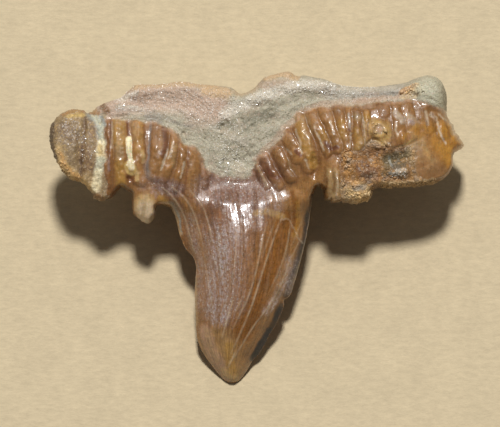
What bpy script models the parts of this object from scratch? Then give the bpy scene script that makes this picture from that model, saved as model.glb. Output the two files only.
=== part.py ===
"""A fossil shark tooth, one solid: a striated cusp hanging from two folded heels, and the root behind.

The tooth lies on a flat surface on its cusp tip and on the swollen back of its root. The face that
shows is drawn first, flat, as u (across), v (towards the root) and w (out of the face), all in
millimetres. Two sheets, front and back, meet along the outline. Then the face leans back by LEAN.
"""
import math

import bpy
import numpy as np
from mathutils import Vector, noise
from mathutils.geometry import delaunay_2d_cdt

# Driving dimensions, in millimetres and degrees
MM = 0.001
WIDTH = 10.0            # across both heels; every other length is for a tooth this wide
LEAN = 20.0             # the face leans back this far from lying level
TIP_PRESS = 0.06        # worn flat at the cusp tip
ROOT_PRESS = 0.11       # worn flat on the root's swelling
TIP_FROM = -3.8         # v below which the tooth counts as the tip

# Mesh spacing, in millimetres
OUTLINE_STEP = 0.13
RIM_RINGS = (0.035, 0.12)
FRONT_STEP = 0.155
BACK_STEP = 0.25
FOLD_STATION = 0.20
BORDER_STEP = 0.08      # along the crown line, when measuring from it
ROOM = 0.62             # of a step, the least room an even point needs around it
NEAREST = 0.027         # feature points stay this far apart
FEATURE_INSET = 0.05    # and this far inside the rim's rings
SHARP_ANGLE = 30.0
FRONT_SEED = 4.0
BACK_SEED = 9.0
SWAY_SEEDS = (2.0, 7.0)

# Outline of the face, clockwise from the left end of the root's edge
ROOT_EDGE = (
    (-3.64, 1.63), (-3.42, 1.79), (-3.18, 1.89), (-2.87, 1.99), (-2.63, 2.21), (-2.48, 2.30),
    (-1.91, 2.31), (-1.40, 2.38), (-0.96, 2.31), (-0.25, 2.25), (0.00, 2.09), (0.29, 2.19),
    (0.53, 2.42), (0.64, 2.50), (1.15, 2.62), (1.36, 2.52), (1.60, 2.52), (2.03, 2.43),
    (2.50, 2.28), (3.16, 2.25), (3.95, 2.36), (4.31, 2.49), (4.60, 2.55), (4.85, 2.43),
    (5.00, 2.11), (5.01, 1.77),
)
RIGHT_BREAK = (
    (5.02, 1.56), (5.14, 1.39), (5.22, 1.20), (5.41, 0.93), (5.43, 0.84), (5.30, 0.73),
    (5.17, 0.66), (5.16, 0.38), (5.10, 0.22), (4.95, 0.05),
)
RIGHT_HEEL = (
    (4.74, -0.05), (4.43, -0.11), (3.83, -0.16), (3.40, -0.17), (3.21, -0.20), (3.13, -0.36),
    (3.01, -0.48), (2.80, -0.57), (2.46, -0.54), (2.15, -0.51), (2.02, -0.43), (2.00, -0.26),
    (1.91, -0.16), (1.84, -0.19),
)
CUSP_RIGHT = (
    (1.75, -0.41), (1.71, -0.65), (1.65, -1.10), (1.51, -1.75), (1.32, -2.44), (1.20, -2.78),
    (1.06, -2.89), (1.05, -3.06), (0.89, -3.44), (0.70, -3.75), (0.50, -4.14), (0.31, -4.35),
    (0.12, -4.66), (-0.01, -4.83), (-0.15, -4.90),
)
CUSP_LEFT = (
    (-0.31, -4.87), (-0.50, -4.70), (-0.77, -4.35), (-0.96, -4.04), (-1.04, -3.75), (-1.07, -3.23),
    (-1.09, -2.63), (-1.06, -2.10), (-1.14, -1.85), (-1.32, -1.63), (-1.46, -1.30), (-1.54, -0.95),
    (-1.67, -0.69),
)
LEFT_HEEL = (
    (-1.77, -0.63), (-1.99, -0.62), (-2.05, -0.88), (-2.22, -1.05), (-2.44, -0.93), (-2.60, -0.75),
    (-2.61, -0.35), (-2.72, -0.24), (-2.85, -0.17), (-2.99, -0.31), (-3.11, -0.43),
)
LEFT_BREAK = (
    (-3.35, -0.50), (-3.50, -0.45), (-3.59, -0.29), (-3.78, -0.08), (-3.90, -0.01), (-4.07, 0.02),
    (-4.22, 0.15), (-4.45, 0.50), (-4.58, 0.90), (-4.59, 1.20), (-4.52, 1.38), (-4.31, 1.60),
    (-4.02, 1.71), (-3.80, 1.69),
)

# Where the enamel crown ends and the root begins, left to right; the root dips in a V to the neck
CROWN_LINE = (
    (-3.80, 2.10), (-3.35, 1.60), (-3.06, 1.48), (-2.39, 1.44), (-1.84, 1.32), (-1.50, 1.10),
    (-1.38, 0.87), (-1.08, 0.81), (-0.93, 0.62), (-0.82, 0.30), (-0.68, 0.18), (-0.30, 0.08),
    (0.17, 0.05), (0.31, 0.22), (0.42, 0.52), (0.67, 0.72), (0.96, 1.00), (1.10, 1.27),
    (1.24, 1.33), (1.41, 1.62), (2.15, 1.79), (2.87, 1.80), (3.70, 1.90), (4.30, 1.92),
    (4.78, 1.75), (5.25, 1.58),
)

# Folds of the heels: each runs from a top point to a bottom point, with half its width
LEFT_FOLDS = (
    ((-3.22, 1.40), (-3.30, -0.40), 0.10),
    ((-2.90, 1.46), (-2.89, -0.12), 0.17),
    ((-2.45, 1.43), (-2.34, -0.95), 0.15),
    ((-2.03, 1.34), (-2.06, -0.75), 0.14),
    ((-1.66, 1.20), (-1.88, -0.55), 0.17),
    ((-1.42, 0.92), (-1.60, -0.50), 0.11),
    ((-1.13, 0.78), (-1.33, -0.45), 0.15),
    ((-0.89, 0.45), (-1.02, -0.45), 0.10),
)
RIGHT_FOLDS = (
    ((0.40, 0.30), (0.68, -0.20), 0.09),
    ((0.66, 0.66), (0.92, -0.03), 0.18),
    ((1.02, 0.80), (1.24, 0.02), 0.11),
    ((1.14, 1.22), (1.46, 0.58), 0.14),
    ((1.50, 1.52), (1.72, 0.30), 0.17),
    ((1.86, 1.68), (2.00, 0.45), 0.15),
    ((2.18, 1.74), (2.36, 0.78), 0.14),
    ((2.46, 1.76), (2.58, 0.78), 0.12),
    ((2.76, 1.74), (2.84, 0.72), 0.15),
    ((3.04, 1.72), (3.02, 0.70), 0.08),
    ((3.44, 1.82), (3.40, 1.55), 0.18),
    ((3.76, 1.84), (3.84, 0.95), 0.13),
    ((4.06, 1.86), (4.18, 1.15), 0.14),
    ((4.40, 1.84), (4.52, 1.20), 0.14),
    ((4.68, 1.74), (4.90, 0.95), 0.13),
    ((4.94, 1.58), (5.14, 1.05), 0.11),
)
FOLD_HEIGHT = 0.13
FOLD_START = 0.14        # they reach full height this far below the crown line
FOLD_END = -0.15         # near the cusp they run out from here down
FOLD_END_LENGTH = 0.5
FOLD_END_ZONE = 2.1
FOLD_WEAR = 0.55         # share worn off the right end
FOLD_WEAR_FROM = 3.5
FOLD_WEAR_LENGTH = 0.6
FOLD_WANDER = 0.035
FOLD_OVERLAP = 1.08
FOLD_ROUNDNESS = 0.7
FOLD_TYPICAL = 0.14      # half width of a full-height fold
FOLD_SHOULDER = 0.62     # of half a fold's width, where the crest turns down into the groove
CROWN_STEP = 0.12        # the enamel's edge rises over this distance

# Thin raised lines that run down the cusp and close in on its tip
STRIAE = (
    ((-1.60, -0.25), (-1.32, -0.72), (-1.18, -1.15), (-1.10, -1.75)),
    ((-1.40, -0.20), (-1.12, -0.70), (-0.98, -1.20), (-0.88, -1.60)),
    ((-0.88, -0.55), (-0.72, -1.00), (-0.62, -1.50), (-0.58, -2.30)),
    ((0.72, -1.00), (0.50, -1.85), (0.22, -2.80), (-0.10, -3.60)),
    ((0.96, -0.95), (0.66, -1.85), (0.42, -2.75), (-0.04, -3.85)),
    ((1.20, -1.05), (0.96, -1.95), (0.58, -3.05), (0.00, -4.10)),
    ((-0.19, -2.80), (-0.26, -3.20), (-0.38, -3.70)),
    ((-0.40, -0.60), (-0.34, -1.40), (-0.36, -2.30)),
    ((0.05, -0.55), (0.02, -1.30), (-0.06, -2.20)),
)
STRIA_WIDTH = 0.045
STRIA_HEIGHT = 0.03

# Lumps and hollows of the face: centre, reach across and along, height (below zero it is a hollow)
FORM_SKIRT = 1.5         # how many reaches out each one fades to nothing
FACE_FORMS = (
    ((-4.15, 0.78), (0.42, 0.78), 0.10),     # outer broken lobe
    ((-3.58, 0.55), (0.22, 0.95), 0.10),     # inner broken lobe
    ((-3.84, 0.40), (0.10, 0.60), -0.09),    # cleft between the two lobes
    ((-3.32, 0.60), (0.10, 1.05), 0.05),     # pale mineral strip
    ((-2.24, -0.62), (0.28, 0.42), 0.08),    # long stub of the left heel
    ((2.28, 0.05), (0.24, 0.60), 0.14),      # long stub of the right heel
    ((2.62, 0.48), (0.17, 0.28), 0.13),      # rusty granules beside it
    ((2.88, -0.28), (0.32, 0.25), 0.10),     # rusty stub
    ((3.33, 1.22), (0.28, 0.30), 0.10),      # block with the ring-shaped patch
    ((3.33, 1.22), (0.10, 0.10), -0.05),     # its centre
    ((3.70, 0.52), (0.38, 0.17), -0.13),     # dark hollow under the broken ledge
    ((3.10, 0.52), (0.34, 0.26), -0.06),     # hollow with broken dentine
    ((3.01, 0.22), (0.34, 0.26), 0.10),      # round brown mass beside the hollow
    ((-2.63, 0.55), (0.07, 0.42), 0.10),     # pale chip wedged between two folds
    ((3.86, 0.18), (0.26, 0.12), 0.10),      # crystal grains under the hollow
    ((4.55, 0.55), (0.60, 0.50), 0.04),      # smooth end of the right heel
    ((4.62, 2.10), (0.34, 0.36), 0.16),      # rounded knob of the root
    ((-1.90, 1.86), (0.95, 0.24), -0.10),    # concave facet of the root
    ((-2.50, 2.08), (0.30, 0.10), 0.06),     # lip along its upper left
    ((0.55, 1.98), (0.60, 0.15), 0.10),      # crossing ridge, lower end
    ((1.55, 2.24), (0.85, 0.18), 0.12),      # crossing ridge, upper end
    ((0.45, 1.45), (0.60, 0.16), -0.06),     # trough under the ridge
    ((-0.30, 1.32), (0.30, 0.14), -0.05),    # dark dimples
    ((0.00, 0.70), (0.42, 0.42), -0.10),     # dish at the foot of the V
    ((0.92, 1.18), (0.16, 0.34), 0.05),      # light lip beside the folds
    ((3.10, 2.02), (0.80, 0.13), -0.04),     # groove along the right band
    ((-1.28, -1.42), (0.12, 0.34), -0.08),   # chipped edge on the left of the cusp
    ((1.14, -2.96), (0.16, 0.12), -0.06),    # nick in the right cutting edge
)

# Broken lower edge of the right heel's enamel; the dentine under it lies deeper
LEDGE = ((2.85, 0.72), (3.16, 1.00), (3.59, 0.79), (3.95, 0.86), (4.35, 1.02))
LEDGE_DROP = 0.09
LEDGE_STEP = 0.08
LEDGE_ZONE = (3.60, 0.95)

# The heels' roll and the root's face, as heights w for places u across
HEEL_CENTRE = ((-4.6, 0.45), (-3.0, 0.32), (-0.8, 0.25), (1.2, 0.30), (2.2, 0.48), (5.4, 0.50))
HEEL_REACH = ((-4.6, 1.60), (-3.0, 1.50), (-0.8, 1.40), (1.2, 1.60), (2.2, 1.75), (5.4, 1.75))
HEEL_RISE = (
    (-4.6, 0.56), (-3.0, 0.62), (-1.3, 0.56), (-0.6, 0.40), (0.2, 0.38), (0.9, 0.50), (1.6, 0.62),
    (4.3, 0.60), (5.4, 0.12),
)
HEEL_LEAST = 0.15        # share of the roll's height left at its far sides, squared
ARM_RIM = ((-5.0, 0.05), (-2.5, 0.0), (0.0, 0.0), (2.5, -0.22), (4.0, -0.55), (5.5, -1.10))
ROOT_RISE = 0.34
ROOT_BELLY = (1.6, 1.2, 0.06)    # where along v it is fullest, how far that reaches, how much

# The cusp, as heights w and half widths for places v along it; it bends down to its tip
CUSP_RISE = (
    (-5.0, -0.12), (-4.70, 0.05), (-4.31, 0.24), (-3.59, 0.55), (-2.87, 0.765), (-2.15, 0.87),
    (-1.60, 0.87), (-1.25, 0.835), (-1.00, 0.785), (-0.75, 0.705), (-0.50, 0.60), (-0.25, 0.49),
    (0.05, 0.40), (0.40, 0.37),
)
CUSP_RIM = ((-4.95, -0.30), (-4.30, -0.20), (-3.00, 0.00), (-1.60, 0.12), (-0.40, 0.05), (0.5, 0.0))
CUSP_HALF_WIDTH = (
    (-4.90, 0.12), (-4.70, 0.30), (-4.35, 0.55), (-3.75, 0.88), (-2.60, 1.15), (-1.60, 1.42),
    (-0.60, 1.70), (0.60, 1.90),
)
CUSP_ZONE = 2.6          # reach of the cusp's form to each side
NECK_TOP = 0.15          # the heels give way to the cusp from here down
NECK_LENGTH = 0.75
KEEN_TOP = -0.35         # below here the edges turn from round to keen
KEEN_POWER = 2.4

# Roundness of the edges, and the strip along them where relief fades
FRONT_RADIUS = 0.26
BACK_RADIUS = 0.75
EDGE_FADE = 0.14
EDGE_SHARE = 0.38        # share of the relief that carries on to the very edge

# The hidden back: depths below the rim, the root's swelling with its two lobes, groove and pits
CUSP_DEPTH = (
    (-5.0, 0.06), (-4.70, 0.16), (-4.31, 0.28), (-3.59, 0.46), (-2.87, 0.60), (-1.56, 0.82),
    (-0.60, 1.05), (0.30, 1.30),
)
ARM_DEPTH = (
    (-4.7, 0.62), (-3.6, 0.85), (-2.2, 1.10), (0.0, 1.30), (2.2, 1.10), (4.0, 0.85), (5.4, 0.50),
)
SWELLING_CENTRE = (0.25, 1.30)
SWELLING_REACH = (2.10, 0.95)
SWELLING_EDGE = 0.8
SWELLING_MOST = 4.0
SWELLING_TRIES = 30
LOBES = ((-1.25, 1.45), (1.45, 1.50))
LOBE_REACH = 1.1
LOBE_RISE = 0.22
NUTRIENT_GROOVE = ((0.20, 2.30), (0.22, 1.55), (0.18, 0.75))
GROOVE_REACH = 0.28
GROOVE_DEPTH = 0.22
BACK_PITS = ((-2.35, 1.25), (-1.35, 0.62), (0.95, 0.70), (2.25, 1.35), (3.40, 1.30), (0.20, 1.00))
BACK_PIT_REACH = 0.20
BACK_PIT_DEPTH = 0.10
BACK_RIB_SPACING = 0.36
BACK_RIB_HEIGHT = 0.025
BACK_RIB_PLACE = (-0.55, 0.75)

# Pits in the root's face
ROOT_PITS = (
    (0.74, 1.67), (2.73, 1.96), (-0.50, 1.20), (-1.36, 1.12), (4.83, 2.08), (4.50, 2.34), (0.30, 1.30),
)
PIT_REACH = 0.10
PIT_DEPTH = 0.06

# Roughness: how high, and how far apart the lumps are
ROOT_GRAIN = 0.030
BREAK_GRAIN = 0.075
ENAMEL_GRAIN = 0.006
FRONT_LUMPS = 0.30
BACK_LUMPS = 0.45
LEFT_BREAK_FROM = -3.35
RIGHT_BREAK_AT = (3.35, 0.30)
RIGHT_BREAK_REACH = (1.25, 0.75)


def smooth(x):
    """Ramp from 0 to 1 with level ends."""
    x = np.clip(x, 0.0, 1.0)
    return x * x * (3.0 - 2.0 * x)


def bell(distance, reach):
    """1 on the line, 0 from the reach outwards, level at both."""
    return 1.0 - smooth(np.abs(distance) / reach)


def profile(knots, x):
    """Smooth curve through the knots, evaluated at every x."""
    places, values = np.array(knots).T
    slopes = np.gradient(values, places)
    x = np.clip(x, places[0], places[-1])
    i = np.clip(np.searchsorted(places, x) - 1, 0, len(places) - 2)
    span = places[i + 1] - places[i]
    t = (x - places[i]) / span
    return (
        values[i] * (1 + 2 * t) * (1 - t) ** 2
        + values[i + 1] * t * t * (3 - 2 * t)
        + slopes[i] * span * t * (1 - t) ** 2
        + slopes[i + 1] * span * t * t * (t - 1)
    )


def curve_through(points, step, closed=False):
    """Catmull-Rom curve through the points, cut into even pieces about one step long."""
    points = np.array(points, float)
    if closed:
        ring = np.vstack((points[-1], points, points[:2]))
    else:
        ring = np.vstack((2 * points[0] - points[1], points, 2 * points[-1] - points[-2]))
    t = np.linspace(0.0, 1.0, 12, endpoint=False)[:, None]
    fine = []
    for a, b, c, d in zip(ring, ring[1:], ring[2:], ring[3:]):
        square = (2 * a - 5 * b + 4 * c - d) * t**2
        cube = (3 * b - a - 3 * c + d) * t**3
        fine.append(0.5 * (2 * b + (c - a) * t + square + cube))
    fine = np.vstack(fine + [points[:1] if closed else points[-1:]])
    along = np.concatenate(([0.0], np.cumsum(np.linalg.norm(np.diff(fine, axis=0), axis=1))))
    count = max(2, round(along[-1] / step))
    stations = np.linspace(0.0, along[-1], count + 1)[: count if closed else count + 1]
    return np.stack([np.interp(stations, along, fine[:, i]) for i in range(2)], axis=1)


def line_distance(points, line, closed=False):
    """How far each point is from the line, how far along the line its foot is, and on which side."""
    ends = np.vstack((line, line[:1])) if closed else np.asarray(line)
    best = np.full(len(points), np.inf)
    foot = np.zeros(len(points))
    side = np.zeros(len(points))
    travelled = 0.0
    for a, b in zip(ends, ends[1:]):
        run = b - a
        length = math.hypot(run[0], run[1])
        offset = points - a
        t = np.clip(offset @ run / length**2, 0.0, 1.0)
        away = offset - t[:, None] * run
        distance = np.hypot(away[:, 0], away[:, 1])
        nearer = distance < best
        best[nearer] = distance[nearer]
        foot[nearer] = travelled + t[nearer] * length
        side[nearer] = np.sign(run[0] * offset[nearer, 1] - run[1] * offset[nearer, 0])
        travelled += length
    return best, foot / travelled, side


def rough(points, size, seed):
    """Lumpy noise about -1 to 1, its lumps about the given size."""
    return np.array([noise.fractal((u / size, v / size, seed), 0.6, 2.1, 3) for u, v in points])


def outline():
    """The closed edge of the face."""
    runs = ROOT_EDGE + RIGHT_BREAK + RIGHT_HEEL + CUSP_RIGHT + CUSP_LEFT + LEFT_HEEL + LEFT_BREAK
    return curve_through(runs, OUTLINE_STEP, closed=True)


def crown_side(points):
    """Signed distance from the crown line, above zero on the enamel."""
    line = curve_through(CROWN_LINE, BORDER_STEP)
    distance, _, side = line_distance(points, line)
    return -side * distance


def folded(points):
    """The heels' folds side by side: 1 on a crest, 0 in a groove."""
    sway = [rough(points, 3 * FRONT_LUMPS, seed) for seed in SWAY_SEEDS]
    wander = FOLD_WANDER * np.stack(sway, axis=1)
    height = np.zeros(len(points))
    for i, (top, bottom, half) in enumerate(LEFT_FOLDS + RIGHT_FOLDS):
        distance, along, _ = line_distance(points + wander, np.array((top, bottom)))
        crest = np.clip(1.0 - (distance / (FOLD_OVERLAP * half)) ** 2, 0.0, 1.0) ** FOLD_ROUNDNESS
        fullness = min(1.0, half / FOLD_TYPICAL) * (0.88 + 0.12 * math.cos(2.4 * i))
        height = np.maximum(height, crest * fullness * (0.75 + 0.25 * np.sin(math.pi * along)))
    return height


def cusp_share(points):
    """1 on the cusp, 0 on the heels and root, with the neck between."""
    u, v = points.T
    return smooth((NECK_TOP - v) / NECK_LENGTH) * bell(u, CUSP_ZONE)


def rim_level(points):
    """Height of the edge where the front sheet meets the back one."""
    u, v = points.T
    arms = profile(ARM_RIM, u)
    return arms + (profile(CUSP_RIM, v) - arms) * cusp_share(points)


def rounding(points, edge_distance, radius):
    """0 at the edge rising to 1: a quarter round on the arms, a keen lens on the cusp."""
    v = points[:, 1]
    quarter = np.sqrt(1.0 - (1.0 - np.clip(edge_distance / radius, 0.0, 1.0)) ** 2)
    across = np.clip(edge_distance / profile(CUSP_HALF_WIDTH, v), 0.0, 1.0)
    lens = 1.0 - (1.0 - across) ** KEEN_POWER
    return quarter + (lens - quarter) * smooth((KEEN_TOP - v) / NECK_LENGTH)


def body_level(points, enamel):
    """The face's large forms: the heels' roll, the root's flat face and the cusp's long swell."""
    u, v = points.T
    across_roll = (v - profile(HEEL_CENTRE, u)) / profile(HEEL_REACH, u)
    heel = profile(HEEL_RISE, u) * np.sqrt(np.clip(1.0 - across_roll**2, HEEL_LEAST, 1.0))
    fullest, reach, more = ROOT_BELLY
    root = ROOT_RISE + more * bell(v - fullest, reach)
    body = root + (heel - root) * enamel
    return body + (profile(CUSP_RISE, v) - body) * cusp_share(points)


def fold_relief(points, crown):
    """The folds start at the crown line, are worn low at the right end and run out on the cusp."""
    u, v = points.T
    started = smooth(crown / FOLD_START)
    run_out = 1.0 - smooth((FOLD_END - v) / FOLD_END_LENGTH) * bell(u, FOLD_END_ZONE)
    worn = 1.0 - FOLD_WEAR * smooth((u - FOLD_WEAR_FROM) / FOLD_WEAR_LENGTH)
    return FOLD_HEIGHT * folded(points) * started * run_out * worn


def ledge_relief(points):
    """The drop under the right heel's broken ledge."""
    u, v = points.T
    middle, reach = LEDGE_ZONE
    under = smooth((profile(LEDGE, u) - v) / LEDGE_STEP + 0.5) * smooth(2.0 * bell(u - middle, reach))
    return -LEDGE_DROP * under


def form_relief(points):
    """Every named lump and hollow of the face."""
    u, v = points.T
    level = np.zeros(len(points))
    for centre, reach, rise in FACE_FORMS:
        distance = np.hypot((u - centre[0]) / reach[0], (v - centre[1]) / reach[1])
        level += rise * bell(distance, FORM_SKIRT)
    return level


def stria_relief(points):
    """The thin raised lines of the cusp, fading at both ends."""
    level = np.zeros(len(points))
    for line in STRIAE:
        distance, along, _ = line_distance(points, curve_through(line, FOLD_STATION))
        level = np.maximum(level, bell(distance, STRIA_WIDTH) * np.sqrt(np.sin(math.pi * along)))
    return STRIA_HEIGHT * level


def grain_relief(points, enamel):
    """Fine on the enamel, coarser on the root, coarsest on the broken ends."""
    u, v = points.T
    left = smooth((LEFT_BREAK_FROM - u) / FRONT_LUMPS)
    right = bell(u - RIGHT_BREAK_AT[0], RIGHT_BREAK_REACH[0])
    right = right * bell(v - RIGHT_BREAK_AT[1], RIGHT_BREAK_REACH[1]) * enamel
    grain = ROOT_GRAIN + (ENAMEL_GRAIN - ROOT_GRAIN) * enamel
    grain = grain + BREAK_GRAIN * np.maximum(left, right)
    return grain * rough(points, FRONT_LUMPS, FRONT_SEED)


def front_level(points, edge_distance):
    """Height of the face that shows."""
    crown = crown_side(points)
    enamel = smooth(crown / CROWN_STEP + 0.5)
    rim = rim_level(points)
    level = rim + (body_level(points, enamel) - rim) * rounding(points, edge_distance, FRONT_RADIUS)
    relief = fold_relief(points, crown) + form_relief(points) + grain_relief(points, enamel)
    relief += ledge_relief(points)
    inside = smooth(edge_distance / EDGE_FADE)
    level += relief * (EDGE_SHARE + (1.0 - EDGE_SHARE) * inside) + stria_relief(points) * inside
    for pit in ROOT_PITS:
        level -= PIT_DEPTH * bell(np.hypot(*(points - pit).T), PIT_REACH)
    return level


def back_depth(points, edge_distance, swelling):
    """Depth of the hidden back below the rim's level; the swelling is the root's extra depth."""
    u, v = points.T
    depth = profile(ARM_DEPTH, u)
    depth = depth + (profile(CUSP_DEPTH, v) - depth) * cusp_share(points)
    depth = depth * rounding(points, edge_distance, BACK_RADIUS)
    across = (u - SWELLING_CENTRE[0]) / SWELLING_REACH[0]
    along = (v - SWELLING_CENTRE[1]) / SWELLING_REACH[1]
    mound = swelling * np.exp(-0.5 * (across**4 + along**2))
    for lobe in LOBES:
        mound += swelling * LOBE_RISE * bell(np.hypot(*(points - lobe).T), LOBE_REACH)
    groove, _, _ = line_distance(points, curve_through(NUTRIENT_GROOVE, BACK_STEP))
    mound -= GROOVE_DEPTH * bell(groove, GROOVE_REACH)
    for pit in BACK_PITS:
        mound -= BACK_PIT_DEPTH * bell(np.hypot(*(points - pit).T), BACK_PIT_REACH)
    place, reach = BACK_RIB_PLACE
    ribs = BACK_RIB_HEIGHT * np.cos(2.0 * math.pi * u / BACK_RIB_SPACING) * bell(v - place, reach)
    grain = ROOT_GRAIN + (ENAMEL_GRAIN - ROOT_GRAIN) * cusp_share(points)
    relief = ribs + grain * rough(points, BACK_LUMPS, BACK_SEED)
    inside = smooth(edge_distance / SWELLING_EDGE)
    return depth + mound * inside + relief * smooth(2 * inside)


def fill_points(edge, placed, step):
    """Placed points inside the outline, then an even triangular spread where there is still room."""
    low, high = edge.min(axis=0), edge.max(axis=0)
    rows = np.arange(low[1], high[1], step * math.sqrt(0.75))
    spread = []
    for i, v in enumerate(rows):
        across = np.arange(low[0] + (i % 2) * step / 2, high[0], step)
        spread.append(np.stack((across, np.full(len(across), v)), axis=1))
    spread = np.vstack(spread)
    distance, _, side = line_distance(spread, edge, closed=True)
    spread = spread[(side < 0) & (distance > RIM_RINGS[-1] + ROOM * step)]
    gap = np.linalg.norm(spread[:, None] - placed[None], axis=2).min(axis=1)
    return np.vstack((placed, spread[gap > ROOM * step]))


def feature_lines():
    """Lines along the folds' crests, shoulders and grooves, and across each stria, edge and ledge."""
    lines = []
    for folds in (LEFT_FOLDS, RIGHT_FOLDS):
        for top, bottom, half in folds:
            shoulder = np.array((FOLD_SHOULDER * half, 0.0))
            for side in (-shoulder, 0.0 * shoulder, shoulder):
                lines.append(curve_through((top + side, bottom + side), FOLD_STATION))
        for (top, bottom, half), (next_top, next_bottom, next_half) in zip(folds, folds[1:]):
            share = half / (half + next_half)
            groove = [
                np.array(a) * (1 - share) + np.array(b) * share
                for a, b in ((top, next_top), (bottom, next_bottom))
            ]
            lines.append(curve_through(groove, FOLD_STATION))
    widths = [(line, STRIA_WIDTH) for line in STRIAE]
    widths += [(CROWN_LINE, CROWN_STEP / 2), (LEDGE, LEDGE_STEP / 2)]
    for line, reach in widths:
        middle = curve_through(line, FOLD_STATION)
        run = np.gradient(middle, axis=0)
        across = np.stack((-run[:, 1], run[:, 0]), axis=1) / np.linalg.norm(run, axis=1)[:, None]
        lines += [middle, middle + reach * across, middle - reach * across]
    return lines


def feature_points(edge):
    """Points on the feature lines, and the pairs of them that an edge of the mesh must join."""
    kept = []
    links = []
    for line in feature_lines():
        distance, _, side = line_distance(line, edge, closed=True)
        last = None
        for point, inside in zip(line, (side < 0) & (distance > RIM_RINGS[-1] + FEATURE_INSET)):
            near = kept and min(np.linalg.norm(np.array(kept) - point, axis=1)) < NEAREST
            if not inside or near:
                last = None
                continue
            kept.append(point)
            if last is not None:
                links.append((last, len(kept) - 1))
            last = len(kept) - 1
    return np.array(kept), links


def rim_points(edge):
    """Rings just inside the outline, to round it."""
    run = np.roll(edge, -1, axis=0) - np.roll(edge, 1, axis=0)
    inward = np.stack((run[:, 1], -run[:, 0]), axis=1) / np.linalg.norm(run, axis=1)[:, None]
    rings = []
    for inset in RIM_RINGS:
        ring = edge + inset * inward
        distance, _, side = line_distance(ring, edge, closed=True)
        rings.append(ring[(side < 0) & (distance > 0.8 * inset)])
    return np.vstack(rings)


def sheet(edge, inner, links=()):
    """Triangles over the face, with its inner points, which follow the outline's in the numbering."""
    flat = [Vector(p) for p in np.vstack((edge, inner))]
    joined = [(a + len(edge), b + len(edge)) for a, b in links]
    loop = list(range(len(edge)))
    points, _, faces, _, _, _ = delaunay_2d_cdt(flat, joined, [loop], 1, 1e-6)
    number = {}
    inner = []
    for i, point in enumerate(points):
        gap = np.hypot(edge[:, 0] - point[0], edge[:, 1] - point[1])
        if gap.min() < 1e-4:
            number[i] = int(gap.argmin())
        else:
            number[i] = len(edge) + len(inner)
            inner.append(tuple(point))
    return np.array(inner), [[number[i] for i in face] for face in faces]


def leaned(points, level):
    """From the flat face's u, v, w to the lying tooth, in millimetres."""
    lean = math.radians(LEAN)
    u, v = points.T
    y = v * math.cos(lean) - level * math.sin(lean)
    z = v * math.sin(lean) + level * math.cos(lean)
    return np.stack((u, y, z), axis=1)


def enamel_material():
    """Amber-brown glossy enamel, the colour of most of the tooth."""
    material = bpy.data.materials.new("enamel")
    material.use_nodes = True
    shader = material.node_tree.nodes["Principled BSDF"]
    shader.inputs["Base Color"].default_value = (0.30, 0.17, 0.075, 1.0)
    shader.inputs["Roughness"].default_value = 0.35
    shader.inputs["Metallic"].default_value = 0.0
    return material


def build_tooth():
    """Both sheets, closed along the outline and worn flat where the tooth rests."""
    edge = outline()
    rim = rim_points(edge)
    features, links = feature_points(edge)
    front = fill_points(edge, np.vstack((features, rim)), FRONT_STEP)
    front, front_faces = sheet(edge, front, links)
    back, back_faces = sheet(edge, fill_points(edge, rim, BACK_STEP))

    front_gap = line_distance(front, edge, closed=True)[0]
    back_gap = line_distance(back, edge, closed=True)[0]
    edge_xyz = leaned(edge, rim_level(edge))
    front_xyz = leaned(front, front_level(front, front_gap))
    under = rim_level(back)
    on_tip = back[:, 1] < TIP_FROM
    plain = leaned(back, under - back_depth(back, back_gap, 0.0))
    ground = plain[on_tip, 2].min() + TIP_PRESS

    # The swelling is as deep as it takes for the root to reach the ground with the tip
    shallow, deep = 0.0, SWELLING_MOST
    for _ in range(SWELLING_TRIES):
        swelling = (shallow + deep) / 2
        back_xyz = leaned(back, under - back_depth(back, back_gap, swelling))
        if back_xyz[~on_tip, 2].min() > ground - ROOT_PRESS:
            shallow = swelling
        else:
            deep = swelling

    points = np.vstack((edge_xyz, front_xyz, back_xyz))
    points[:, 2] = np.maximum(points[:, 2], ground) - ground
    low, high = points.min(axis=0), points.max(axis=0)
    points[:, :2] -= (low[:2] + high[:2]) / 2
    points *= MM * WIDTH / (high[0] - low[0])

    faces = [face[::-1] if turned(face, edge, front) else face for face in front_faces]
    shift = len(front)
    for face in back_faces:
        moved = [i if i < len(edge) else i + shift for i in face]
        faces.append(moved if turned(face, edge, back) else moved[::-1])

    mesh = bpy.data.meshes.new("tooth")
    mesh.from_pydata([tuple(p) for p in points], [], faces)
    mesh.update()
    mesh.shade_smooth()
    mesh.set_sharp_from_angle(angle=math.radians(SHARP_ANGLE))
    mesh.materials.append(enamel_material())
    tooth = bpy.data.objects.new("tooth", mesh)
    bpy.context.scene.collection.objects.link(tooth)
    return tooth, swelling


def turned(face, edge, inner):
    """Whether the face runs clockwise on the flat."""
    a, b, c = (edge[i] if i < len(edge) else inner[i - len(edge)] for i in face[:3])
    return (b[0] - a[0]) * (c[1] - a[1]) - (b[1] - a[1]) * (c[0] - a[0]) < 0


def main():
    for obj in list(bpy.data.objects):
        bpy.data.objects.remove(obj, do_unlink=True)
    tooth, swelling = build_tooth()
    print(f"{len(tooth.data.polygons)} faces; the root swells {swelling:.2f} mm behind the face")


main()
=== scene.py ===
# %% [markdown]
# # A fossil shark tooth
#
# The tooth is about a centimetre across and has turned to stone: amber and brown enamel hangs from a
# grey-green and pink root. One long cusp points down, two folded heels spread to the sides, and both
# ends are broken. It lies on its back, on the tip of the cusp and on the swollen back of its root.
#
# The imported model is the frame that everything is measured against. It is loaded first, and its box is
# kept, because the dressed tooth must stay the same size.

import math

import bpy
import numpy as np
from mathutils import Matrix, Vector, noise
from mathutils.geometry import delaunay_2d_cdt


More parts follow.
